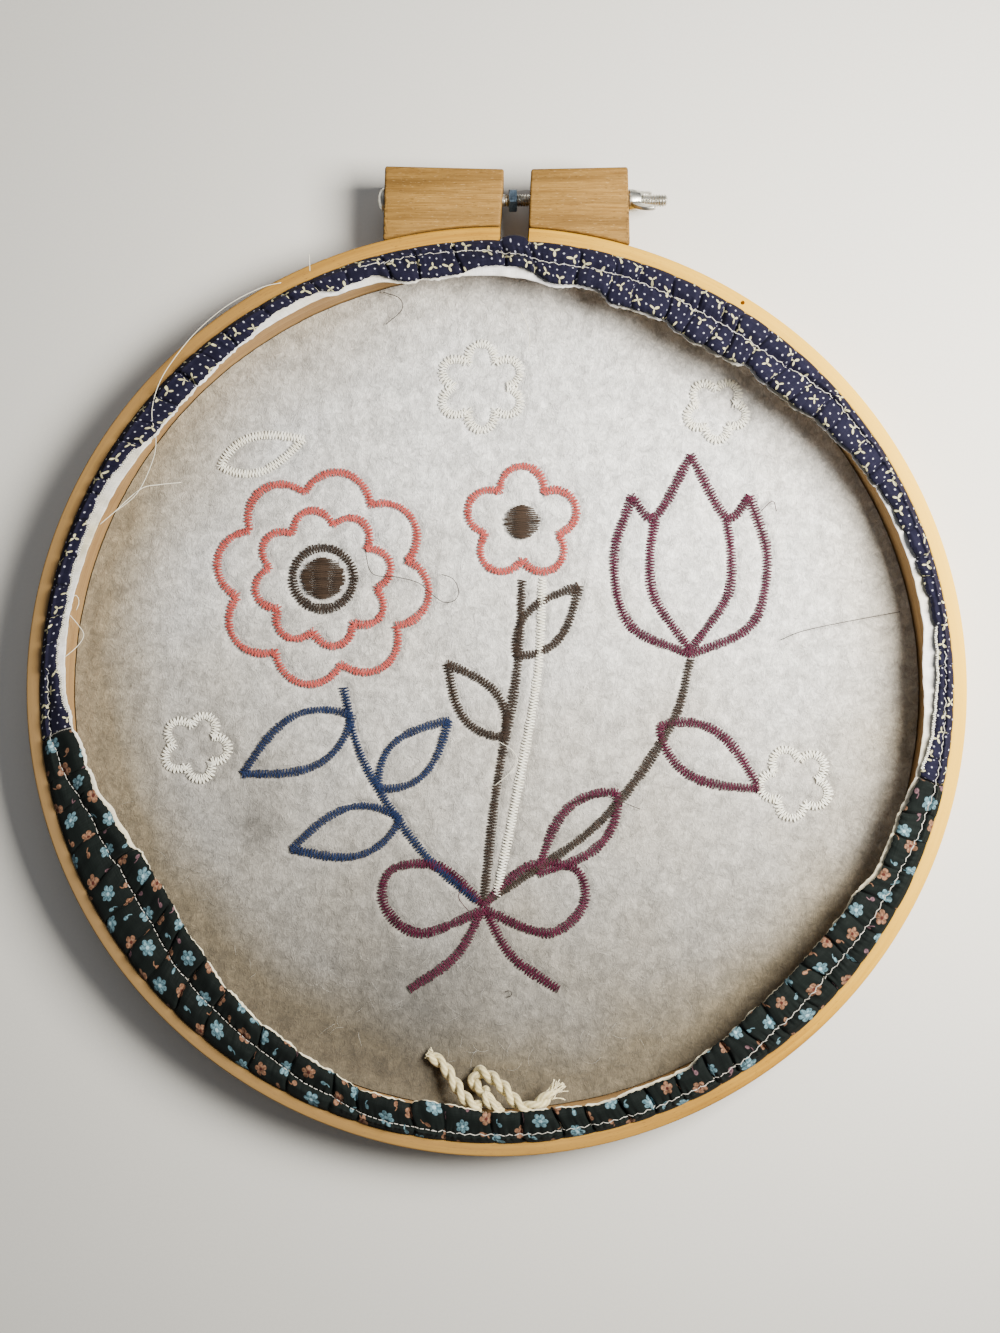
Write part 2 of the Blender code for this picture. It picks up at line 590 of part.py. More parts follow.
def twisted_string(name, route, look):
    """A two-strand string: an oval section that turns as it follows its route."""
    shape = bmesh.new()
    path = smooth_route(route, STRING_STEP)
    side = Vector((0.0, 0.0, 1.0))
    loops = []
    for number, point in enumerate(path):
        along = (path[min(number + 1, len(path) - 1)] - path[max(number - 1, 0)]).normalized()
        side = (side - along * side.dot(along)).normalized()
        over = along.cross(side)
        twist = 2.0 * math.pi * number * STRING_STEP / STRING_PITCH
        loop = []
        for i in range(STRING_SIDES):
            turn = 2.0 * math.pi * i / STRING_SIDES
            radius = STRING_RADIUS + STRING_LOBE * math.cos(2.0 * (turn - twist))
            loop.append(shape.verts.new(point + radius * (side * math.cos(turn) + over * math.sin(turn))))
        loops.append(loop)
    for near, far in zip(loops, loops[1:]):
        for i in range(STRING_SIDES):
            j = (i + 1) % STRING_SIDES
            shape.faces.new((near[i], near[j], far[j], far[i]))
    shape.faces.new(loops[0])
    shape.faces.new(loops[-1])
    return add_solid(name, shape, look)


def knot(look):
    """The drawstring's knot: a lump ridged by the turns of its two strands."""
    shape = bmesh.new()
    bmesh.ops.create_uvsphere(shape, u_segments=16, v_segments=9, radius=1.0)
    for vert in shape.verts:
        turn = math.atan2(vert.co.y, vert.co.z)
        ridge = 1.0 - KNOT_GROOVE * (0.5 + 0.5 * math.cos(2.0 * turn + KNOT_WIND * vert.co.x))
        vert.co = KNOT_CENTRE + Vector(a * b for a, b in zip(vert.co * ridge, KNOT_RADII))
    return add_solid("drawstring_knot", shape, look)


def build():
    clear_scene()
    hoop_wood = finish("hoop_wood", HOOP_WOOD, 0.55)
    block_wood = finish("block_wood", BLOCK_WOOD, 0.6)
    zinc = finish("zinc", ZINC, 0.35, 1.0)
    steel = finish("steel", STEEL, 0.4, 1.0)
    navy = finish("navy_print", NAVY, 0.9)
    green = finish("green_print", GREEN, 0.9)
    white = finish("white_cotton", WHITE, 0.9)
    batting = finish("batting", BATTING, 1.0)
    cotton = finish("cotton_string", COTTON, 0.9)

    outer = ring_section(RIM_DATUM, RING_RADIUS, OUTER_RING_BASE, OUTER_RING_TOP, EDGE_ROUND)
    swept_ring("outer_ring", outer, hoop_wood, GAP_END, 360.0 + GAP_START)
    inner = ring_section(INNER_RING_INSIDE, INNER_RING_OUTSIDE, INNER_RING_BASE, INNER_RING_TOP,
                         INNER_EDGE_ROUND)
    swept_ring("inner_ring", inner, hoop_wood)

    bore = screw_cylinder("screw_bore", BORE_RADIUS, SCREW_HEAD_X - BORE_REACH, SCREW_END_X + BORE_REACH)
    block("block_left", LEFT_BLOCK, block_wood, bore)
    block("block_right", RIGHT_BLOCK, block_wood, bore)
    bolt(zinc)
    hex_nut(steel, bore)
    wing_nut(zinc, bore)

    cloth_panel("navy_cloth", NAVY_PLEATS, front_seam_middle(1.0), navy, NAVY_SEED)
    cloth_panel("green_cloth", GREEN_PLEATS, front_seam_middle(-1.0), green, GREEN_SEED)
    white_lining(white)
    batting_sheet(batting)

    twisted_string("drawstring_end", END_ROUTE, cotton)
    twisted_string("drawstring_loop", LOOP_ROUTE, cotton)
    knot(cotton)


build()
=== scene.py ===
import functools
import math
import random

import bmesh
import bpy
import numpy as np
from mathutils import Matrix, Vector, kdtree


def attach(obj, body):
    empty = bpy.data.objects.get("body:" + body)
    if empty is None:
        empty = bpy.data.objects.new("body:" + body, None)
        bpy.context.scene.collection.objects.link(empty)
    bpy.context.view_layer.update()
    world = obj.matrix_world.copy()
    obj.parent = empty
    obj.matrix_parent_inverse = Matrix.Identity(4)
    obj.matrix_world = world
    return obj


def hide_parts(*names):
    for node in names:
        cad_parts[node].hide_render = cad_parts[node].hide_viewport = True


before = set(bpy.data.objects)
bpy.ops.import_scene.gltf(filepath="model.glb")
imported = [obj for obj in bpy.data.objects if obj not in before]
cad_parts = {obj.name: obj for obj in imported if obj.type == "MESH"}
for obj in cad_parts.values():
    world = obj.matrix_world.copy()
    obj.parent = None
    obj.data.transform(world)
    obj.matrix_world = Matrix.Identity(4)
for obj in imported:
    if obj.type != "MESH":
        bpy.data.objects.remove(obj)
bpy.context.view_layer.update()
print("frame: hoop loaded,", len(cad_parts), "nodes")

# Everything is in metres and in the hoop's own frame: +Z up, +Y to the blocks, angles from +X towards +Y.
hoop = {
    "radius": 0.178,
    "wall": 0.0055,
    "oval": 0.988,              # the screw draws it a little shorter along Y
    "outerBase": 0.0010,
    "outerTop": 0.0225,
    "gap": (86.0, 89.6),        # where the outer ring is split, in degrees
    "innerBase": 0.0013,
    "innerTop": 0.0213,
    "cloth": 0.0010,
    "air": 0.0003,
    "felt": 0.0006,             # gap between the batting and the inner ring
    "sharp": 50,                # edges of the rings over this many degrees stay sharp
    "printRadius": 0.166,       # where the rim's length is measured, for the prints
}
hoop["datum"] = hoop["radius"] - hoop["wall"]
hoop["wrap"] = hoop["datum"] - hoop["air"]
hoop["innerOutside"] = hoop["wrap"] - hoop["cloth"] - hoop["air"]
hoop["innerInside"] = hoop["innerOutside"] - hoop["wall"]
hoop["feltRadius"] = hoop["innerInside"] - hoop["felt"]
hoop["liningTop"] = hoop["innerTop"] + hoop["air"] + hoop["cloth"]
hoop["printTop"] = hoop["liningTop"] + hoop["air"] + hoop["cloth"]


# making shapes

def linear(hexText):
    parts = [int(hexText[i:i + 2], 16) / 255 for i in (1, 3, 5)]
    return (*[p / 12.92 if p <= 0.04045 else ((p + 0.055) / 1.055) ** 2.4 for p in parts], 1.0)


def around(angle, radius, height):
    # points at these angles, on the hoop's slightly oval plan
    turn = np.radians(angle)
    across = np.asarray(radius) * np.cos(turn)
    along = hoop["oval"] * np.asarray(radius) * np.sin(turn)
    return np.stack(np.broadcast_arrays(across, along, height), axis=-1)


def waves(x, y, seed, count=7):
    # smooth random swells, mostly between -1 and 1
    rng = random.Random(seed)
    total = 0.0
    for i in range(count):
        turn, size, start = rng.uniform(0, math.tau), rng.uniform(0.6, 1.7), rng.uniform(0, math.tau)
        total = total + np.sin(size * (x * math.cos(turn) + y * math.sin(turn)) + start)
    return total / math.sqrt(count)


def lengthsAlong(points):
    return np.concatenate([[0], np.cumsum(np.linalg.norm(np.diff(points, axis=0), axis=1))])


def smoothRoute(points, step):
    # a curve through the points, cut into even steps
    rows = np.array(points, float)
    rows = np.vstack([2 * rows[0] - rows[1], rows, 2 * rows[-1] - rows[-2]])
    t = np.linspace(0, 1, 24, endpoint=False)[:, None]
    dense = []
    for a, b, c, d in zip(rows, rows[1:], rows[2:], rows[3:]):
        dense.append(0.5 * (2 * b + (c - a) * t + (2 * a - 5 * b + 4 * c - d) * t * t
                            + (3 * b - a - 3 * c + d) * t ** 3))
    dense = np.vstack(dense + [rows[-2:-1]])
    lengths = lengthsAlong(dense)
    want = np.linspace(0, lengths[-1], max(round(lengths[-1] / step), 2) + 1)
    return np.stack([np.interp(want, lengths, dense[:, i]) for i in range(3)], axis=1)


def routeFrames(path):
    # two directions across the path at each point, carried along it without a twist
    along = np.gradient(path, axis=0)
    along /= np.linalg.norm(along, axis=1)[:, None]
    side = np.cross(along[0], (0, 0, 1))
    if np.linalg.norm(side) < 0.1:
        side = np.cross(along[0], (1, 0, 0))
    sides = []
    for direction in along:
        side = side - direction * side.dot(direction)
        side = side / np.linalg.norm(side)
        sides.append(side)
    sides = np.array(sides)
    return sides, np.cross(along, sides)


def newShape():
    return {"points": [], "faces": [], "uvs": [], "count": 0}


def addGrid(shape, points, uvs, closed=False, caps=False):
    # points and uvs are (rows, columns, ...); a closed grid repeats its first column as its last
    rows, columns = points.shape[:2]
    index = np.arange(rows * columns).reshape(rows, columns) + shape["count"]
    if closed:
        index[:, -1] = index[:, 0]
    faces = np.stack([index[:-1, :-1], index[:-1, 1:], index[1:, 1:], index[1:, :-1]], -1)
    uvFaces = np.stack([uvs[:-1, :-1], uvs[:-1, 1:], uvs[1:, 1:], uvs[1:, :-1]], -2)
    shape["faces"] += faces.reshape(-1, 4).tolist()
    shape["uvs"] += uvFaces.reshape(-1, 4, 2).tolist()
    if caps:
        for row, turn in ((0, -1), (-1, 1)):
            ring = index[row, :-1][::turn]
            shape["faces"].append(ring.tolist())
            shape["uvs"].append(uvs[row, :-1][::turn].tolist())
    shape["points"].append(points.reshape(-1, 3))
    shape["count"] += rows * columns


def addTube(shape, path, radius, sides):
    path = np.asarray(path, float)
    side, over = routeFrames(path)
    radius = np.broadcast_to(radius, len(path))
    turn = np.linspace(0, math.tau, sides + 1)
    ring = side[:, None] * np.cos(turn)[None, :, None] + over[:, None] * np.sin(turn)[None, :, None]
    points = path[:, None] + ring * radius[:, None, None]
    uvs = np.stack(np.broadcast_arrays(turn / math.tau, lengthsAlong(path)[:, None]), -1)
    addGrid(shape, points, uvs, closed=True, caps=True)


def shapeMesh(name, shape, merge=1e-7):
    mesh = bpy.data.meshes.new(name)
    mesh.from_pydata(np.vstack(shape["points"]).tolist(), [], shape["faces"])
    layer = mesh.uv_layers.new(name="UVMap")
    layer.data.foreach_set("uv", np.concatenate([np.ravel(row) for row in shape["uvs"]]))
    work = bmesh.new()
    work.from_mesh(mesh)
    bmesh.ops.remove_doubles(work, verts=work.verts, dist=merge)
    bmesh.ops.delete(work, geom=[v for v in work.verts if not v.link_faces], context="VERTS")
    work.to_mesh(mesh)
    work.free()
    mesh.shade_smooth()
    return mesh


def outwards(mesh, sharp=180):
    # faces point outwards, and edges over so many degrees stay sharp
    work = bmesh.new()
    work.from_mesh(mesh)
    bmesh.ops.recalc_face_normals(work, faces=work.faces)
    work.to_mesh(mesh)
    work.free()
    mesh.set_sharp_from_angle(angle=math.radians(sharp))


def addPiece(name, mesh, material, replaces=(), body="hoop"):
    piece = bpy.data.objects.new(name, mesh)
    bpy.context.scene.collection.objects.link(piece)
    mesh.materials.clear()
    mesh.materials.append(material)
    if replaces:
        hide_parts(*replaces)
    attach(piece, body)
    return piece


# making materials

def addNode(tree, kind, *values, named=None, **settings):
    node = tree.nodes.new(kind if "Node" in kind else "ShaderNode" + kind)
    for key, value in settings.items():
        setattr(node, key, value)
    sockets = [s for s in node.inputs if s.enabled]
    pairs = list(zip(sockets, values))
    pairs += [(next(s for s in sockets if s.name == key), value) for key, value in (named or {}).items()]
    for socket, value in pairs:
        if isinstance(value, bpy.types.Node):
            value = next(s for s in value.outputs if s.enabled)
        if isinstance(value, bpy.types.NodeSocket):
            tree.links.new(value, socket)
        elif value is not None:
            socket.default_value = value
    return node


def newMaterial(name, **constants):
    material = bpy.data.materials.new(name)
    material.use_nodes = True
    tree = material.node_tree
    shader = tree.nodes["Principled BSDF"]
    for socket, value in constants.items():
        shader.inputs[socket.replace("_", " ")].default_value = value
    return material, shader, functools.partial(addNode, tree)


def wire(material, shader, **sources):
    for socket, value in sources.items():
        if isinstance(value, bpy.types.Node):
            value = next(s for s in value.outputs if s.enabled)
        material.node_tree.links.new(value, shader.inputs[socket.replace("_", " ")])


def sandedWood(name, colours, coordinate, grain, pores, rough, flecks=0.0, ends=None, paintedSideLight=None):
    # sanded, unvarnished hardwood: matt, with fine streaks along the grain, short dark pores and pale flecks.
    # Where ends gives two places along X, it has the torn marks of a saw there. Where shares for its sides
    # are given, its left is greyed and darkened with painted shade and its right is turned pale yellow with
    # painted light, by these shares
    material, shader, add = newMaterial(name, Specular_IOR_Level=0.15)
    place = add("TexCoord").outputs[coordinate]
    streaks = add("TexNoise", add("Mapping", place, named={"Scale": grain}),
                  named={"Scale": 1.0, "Detail": 5.0, "Roughness": 0.65})
    bands = add("TexNoise", add("Mapping", place, named={"Scale": [g / 7 for g in grain]}),
                named={"Scale": 1.0, "Detail": 3.0})
    pits = add("TexNoise", add("Mapping", place, named={"Scale": pores}),
               named={"Scale": 1.0, "Detail": 2.0})
    blotch = add("TexNoise", place, named={"Scale": 30.0, "Detail": 3.0})
    pale, middle, brown, dark = (linear(c) for c in colours)
    colour = add("Mix", add("MapRange", streaks, 0.37, 0.63), middle, pale, data_type="RGBA")
    colour = add("Mix", add("MapRange", bands, 0.42, 0.72, 0.0, 0.75), colour, brown, data_type="RGBA")
    colour = add("Mix", add("MapRange", blotch, 0.5, 0.75, 0.0, 0.35), colour, brown, data_type="RGBA")
    pit = add("MapRange", pits, 0.62, 0.72, 0.0, 0.6)
    colour = add("Mix", pit, colour, dark, data_type="RGBA")
    fleck = add("MapRange", pits, 0.36, 0.30, 0.0, flecks)
    colour = add("Mix", fleck, colour, linear("#cfae76"), data_type="RGBA")
    if ends:
        along, sawn = add("SeparateXYZ", place).outputs["X"], 0.0022        # how far in the marks reach
        near = add("Math", add("MapRange", along, ends[0] + sawn, ends[0]),
                   add("MapRange", along, ends[1] - sawn, ends[1]), operation="MAXIMUM")
        torn = add("Mapping", place, named={"Scale": (1500, 900, 900)})
        torn = add("TexNoise", torn, named={"Scale": 1.0})
        torn = add("Math", add("MapRange", torn, 0.50, 0.58), near, operation="MULTIPLY")
        colour = add("Mix", torn, colour, dark, data_type="RGBA")
    if paintedSideLight:
        # painted shade greys the left side and painted light yellows the right
        across = add("VectorMath", add("TexCoord").outputs["Object"], (0.94, 0.34, 0),
                     operation="DOT_PRODUCT").outputs["Value"]
        paintedShade = add("MapRange", across, 0.08, -0.17, 0.0, paintedSideLight[0])
        colour = add("Mix", paintedShade, colour, linear("#8a7150"), data_type="RGBA")
        paintedHighlight = add("MapRange", across, 0.06, 0.17, 0.0, paintedSideLight[1])
        colour = add("Mix", paintedHighlight, colour, linear("#ffcb38"), data_type="RGBA")
    height = add("Math", streaks, pit, operation="SUBTRACT")
    wire(material, shader, Base_Color=colour,
         Roughness=add("MapRange", streaks, 0.3, 0.7, rough + 0.1, rough - 0.06),
         Normal=add("Bump", named={"Strength": 0.5, "Distance": 0.00012, "Height": height}))
    return material


def platedSteel(name, light, dark, rough):
    # plated screw steel: a soft satin gloss with cloudy patches where the plating has dulled
    material, shader, add = newMaterial(name, Metallic=1.0)
    place = add("TexCoord").outputs["Object"]
    cloud = add("TexNoise", place, named={"Scale": 450.0, "Detail": 4.0, "Roughness": 0.6})
    grit = add("TexNoise", place, named={"Scale": 4200.0, "Detail": 2.0})
    colour = add("Mix", add("MapRange", cloud, 0.38, 0.66), linear(light), linear(dark), data_type="RGBA")
    wire(material, shader, Base_Color=colour,
         Roughness=add("MapRange", cloud, 0.3, 0.7, rough - 0.06, rough + 0.16),
         Normal=add("Bump", named={"Strength": 0.25, "Distance": 0.00004, "Height": grit}))
    return material


def finishCloth(material, shader, add, colour, place, rough):
    # plain weave as two sets of slubby threads. Real ones are about 0.35 mm apart: they are drawn at
    # 0.5 mm, which is as fine as the picture shows
    yarns = []
    for scale in ((2000, 260, 1), (260, 2000, 1)):
        stretched = add("Mapping", place, named={"Scale": scale})
        yarns.append(add("TexNoise", stretched, named={"Scale": 1.0, "Detail": 2.0}))
    weave = add("Math", *yarns, operation="ADD")
    fade = add("MapRange", weave, 0.75, 1.25, 0.86, 1.12)
    colour = add("Mix", 1.0, colour, fade, data_type="RGBA", blend_type="MULTIPLY")
    wire(material, shader, Base_Color=colour,
         Roughness=add("MapRange", weave, 0.7, 1.3, rough + 0.05, rough - 0.1),
         Normal=add("Bump", named={"Strength": 0.5, "Distance": 0.00012, "Height": weave}))
    return material


def navyCotton():
    # quilting cotton printed with cream florets in rows 10 mm apart and pin dots between them; each floret
    # is turned its own way, as on a tossed print. Sizes are in millimetres; of the florets, those that
    # draw over "crosses" have four petals and the others three, and dots keep "clear" of them
    chart = {"pitch": 6.4, "line": 3.2, "slant": 14.0, "petal": 2.1, "dot": 0.28, "wander": 0.7,
             "crosses": 0.86, "clear": 2.6}
    material, shader, add = newMaterial("navyFloretCotton", Sheen_Weight=0.03, Specular_IOR_Level=0.14)
    uv = add("TexCoord").outputs["UV"]
    slant = (0, 0, math.radians(chart["slant"]))
    split = add("SeparateXYZ", add("Mapping", uv, named={"Scale": (1000, 1000, 1), "Rotation": slant}))
    across, up = split.outputs["X"], split.outputs["Y"]
    line = add("Math", add("Math", up, chart["line"], operation="DIVIDE"), operation="FLOOR")
    shifted = add("Math", line, chart["pitch"] / 4, across, operation="MULTIPLY_ADD")
    dotX = add("Math", add("Math", shifted, chart["pitch"] / 2, operation="FLOORED_MODULO"),
               chart["pitch"] / 4, operation="SUBTRACT")
    dotY = add("Math", add("Math", up, chart["line"], operation="FLOORED_MODULO"), chart["line"] / 2,
               operation="SUBTRACT")
    dot = add("MapRange", add("VectorMath", add("CombineXYZ", dotX, dotY), operation="LENGTH"),
              chart["dot"] + 0.14, chart["dot"] - 0.1)
    row = add("Math", add("Math", up, 3 * chart["line"], operation="DIVIDE"), 1 / 3, operation="ADD")
    row = add("Math", row, operation="FLOOR")
    shifted = add("Math", row, 0.75 * chart["pitch"], across, operation="MULTIPLY_ADD")
    column = add("Math", add("Math", shifted, chart["pitch"], operation="DIVIDE"), 0.25, operation="ADD")
    column = add("Math", column, operation="FLOOR")
    chance = add("TexWhiteNoise", add("CombineXYZ", column, row))
    wander = add("Math", chance, chart["wander"], chart["wander"] / -2, operation="MULTIPLY_ADD")
    localX = add("Math", add("Math", column, -chart["pitch"], shifted, operation="MULTIPLY_ADD"),
                 chart["pitch"] / 4, operation="SUBTRACT")
    localX = add("Math", localX, wander, operation="ADD")
    localY = add("Math", add("Math", row, -3 * chart["line"], up, operation="MULTIPLY_ADD"),
                 chart["line"] / 2, operation="SUBTRACT")
    localY = add("Math", localY, wander, operation="SUBTRACT")
    draws = add("SeparateXYZ", chance.outputs["Color"])
    turn = add("Math", draws.outputs["X"], math.tau, add("Math", localY, localX, operation="ARCTAN2"),
               operation="MULTIPLY_ADD")
    reach = add("VectorMath", add("CombineXYZ", localX, localY), operation="LENGTH")
    petals = add("Math", add("Math", draws.outputs["Y"], chart["crosses"], operation="GREATER_THAN"),
                 0.5, 1.5, operation="MULTIPLY_ADD")
    lobe = add("Math", add("Math", turn, petals, operation="MULTIPLY"), operation="COSINE")
    lobe = add("Math", add("Math", lobe, operation="ABSOLUTE"), 3.8, operation="POWER")
    clear = add("MapRange", reach, chart["clear"] - 0.3, chart["clear"])
    dot = add("Math", dot, clear, operation="MULTIPLY")
    uneven = add("Math", add("Math", turn, operation="COSINE"), 0.14, 0.92, operation="MULTIPLY_ADD")
    lobe = add("Math", lobe, uneven, operation="MULTIPLY")
    edge = add("Math", lobe, -chart["petal"], reach, operation="MULTIPLY_ADD")
    floret = add("MapRange", edge, 0.12, -0.1)
    tint = add("TexNoise", uv, named={"Scale": 60.0, "Detail": 3.0})
    ground = add("Mix", tint, linear("#0b0a1a"), linear("#16152b"), data_type="RGBA")
    colour = add("Mix", dot, ground, linear("#adadbc"), data_type="RGBA")
    colour = add("Mix", floret, colour, linear("#c0ba92"), data_type="RGBA")
    return finishCloth(material, shader, add, colour, uv, 0.85)


def greenCotton():
    # quilting cotton printed with blue and peach flowers on a half-drop, buds and sprigs between them: the
    # side of the print's squares, the flowers' and buds' radii and how far they stray, in millimetres
    chart = {"cell": 7.7, "blue": 2.95, "peach": 2.6, "bud": 1.0, "wander": 1.6}
    material, shader, add = newMaterial("greenFlowerCotton", Sheen_Weight=0.03, Specular_IOR_Level=0.12)
    uv = add("TexCoord").outputs["UV"]
    flat = add("Mapping", uv, named={"Scale": [1000 / chart["cell"]] * 3, "Rotation": (0, 0, 0.4)})
    cell = add("VectorMath", flat, operation="FLOOR")
    corner = add("SeparateXYZ", add("VectorMath", cell, (2, 2, 1), operation="MODULO"))
    odd = [add("Math", corner.outputs[axis], operation="ABSOLUTE") for axis in "XY"]
    both = add("Math", *odd, operation="MULTIPLY")
    neither = add("Math", 1.0, add("Math", *odd, operation="MAXIMUM"), operation="SUBTRACT")
    isFlower = add("Math", both, neither, operation="MAXIMUM")
    isBud = add("Math", 1.0, isFlower, operation="SUBTRACT")
    chance = add("TexWhiteNoise", cell)
    draws = add("SeparateXYZ", chance.outputs["Color"])
    local = add("VectorMath", flat, cell, operation="SUBTRACT")
    local = add("VectorMath", local, [chart["cell"]] * 3, [chart["cell"] / -2] * 3,
                operation="MULTIPLY_ADD")
    wander = add("VectorMath", chance.outputs["Color"], [chart["wander"]] * 3, [chart["wander"] / -2] * 3,
                 operation="MULTIPLY_ADD")
    local = add("VectorMath", local, wander, operation="ADD")
    local = add("VectorMath", local, (1, 1, 0), operation="MULTIPLY")
    angle = add("Math", chance, math.tau, operation="MULTIPLY")
    turned = add("VectorRotate", local, named={"Angle": angle}, rotation_type="Z_AXIS")
    split = add("SeparateXYZ", turned)
    turn = add("Math", split.outputs["Y"], split.outputs["X"], operation="ARCTAN2")
    reach = add("VectorMath", local, operation="LENGTH")
    petals = add("Mix", both, 2.5, 3.0)
    fold = add("Math", add("Math", turn, petals, operation="MULTIPLY"), operation="COSINE")
    fold = add("Math", fold, operation="ABSOLUTE")
    lobe = add("Math", add("Math", fold, 0.6, operation="POWER"), 0.45, 0.55, operation="MULTIPLY_ADD")
    size = add("Mix", both, chart["peach"], chart["blue"])
    edge = add("Math", reach, add("Math", lobe, size, operation="MULTIPLY"), operation="SUBTRACT")
    flower = add("Math", add("MapRange", edge, 0.08, -0.14), isFlower, operation="MULTIPLY")
    bud = add("VectorMath", turned, (1 / chart["bud"], 1.3 / chart["bud"], 1), operation="MULTIPLY")
    bud = add("MapRange", add("VectorMath", bud, operation="LENGTH"), 1.1, 0.85)
    bend = add("Math", add("Math", split.outputs["X"], 1.3, operation="MULTIPLY"), operation="SINE")
    stem = add("Math", add("Math", bend, -0.5, split.outputs["Y"], operation="MULTIPLY_ADD"),
               operation="ABSOLUTE")
    tip = add("Math", add("MapRange", split.outputs["X"], 0.8, 1.0),
              add("MapRange", split.outputs["X"], 2.7, 2.5), operation="MULTIPLY")
    stem = add("Math", add("MapRange", stem, 0.26, 0.12), tip, operation="MULTIPLY")
    bud = add("Math", add("Math", bud, stem, operation="MAXIMUM"), isBud, operation="MULTIPLY")
    mottle = add("TexNoise", uv, named={"Scale": 1100.0, "Detail": 2.0})
    patchy = add("MapRange", mottle, 0.4, 0.6)
    blue = add("Mix", patchy, linear("#3b5661"), linear("#688690"), data_type="RGBA")
    peach = add("Mix", patchy, linear("#5f4130"), linear("#87644e"), data_type="RGBA")
    mauve = add("Mix", patchy, linear("#4e3841"), linear("#705359"), data_type="RGBA")
    bluish = add("Math", add("Math", draws.outputs["X"], 0.55, operation="GREATER_THAN"), isBud, both,
                 operation="MULTIPLY_ADD")
    motif = add("Mix", bluish, peach, blue, data_type="RGBA")
    mauvish = add("Math", add("Math", draws.outputs["Y"], 0.72, operation="GREATER_THAN"), isBud,
                  operation="MULTIPLY")
    motif = add("Mix", mauvish, motif, mauve, data_type="RGBA")
    seams = add("Math", add("Math", add("MapRange", fold, 0.3, 0.1), isFlower, operation="MULTIPLY"),
                0.7, operation="MULTIPLY")
    motif = add("Mix", seams, motif, linear("#20343c"), data_type="RGBA")
    heart = add("Math", add("MapRange", reach, 0.75, 0.5), isFlower, operation="MULTIPLY")
    middle = add("Mix", both, linear("#44201a"), linear("#94b2bc"), data_type="RGBA")
    motif = add("Mix", heart, motif, middle, data_type="RGBA")
    tint = add("TexNoise", uv, named={"Scale": 50.0, "Detail": 3.0})
    ground = add("Mix", tint, linear("#060a0a"), linear("#0e1513"), data_type="RGBA")
    colour = add("Mix", add("Math", flower, bud, operation="MAXIMUM"), ground, motif, data_type="RGBA")
    return finishCloth(material, shader, add, colour, uv, 0.85)


def whiteCotton():
    # washed muslin: warm white with a soft weave, yellowed in patches and all over its lower half
    material, shader, add = newMaterial("whiteMuslin", Sheen_Weight=0.15, Sheen_Roughness=0.5)
    uv = add("TexCoord").outputs["UV"]
    patch = add("TexNoise", uv, named={"Scale": 40.0, "Detail": 3.0})
    lower = add("MapRange", add("SeparateXYZ", add("TexCoord").outputs["Object"]).outputs["Y"], 0.02, -0.05)
    yellowed = add("Math", add("MapRange", patch, 0.4, 0.7), lower, operation="MAXIMUM")
    colour = add("Mix", yellowed, linear("#eceaeb"), linear("#d8cfb4"), data_type="RGBA")
    return finishCloth(material, shader, add, colour, uv, 0.9)


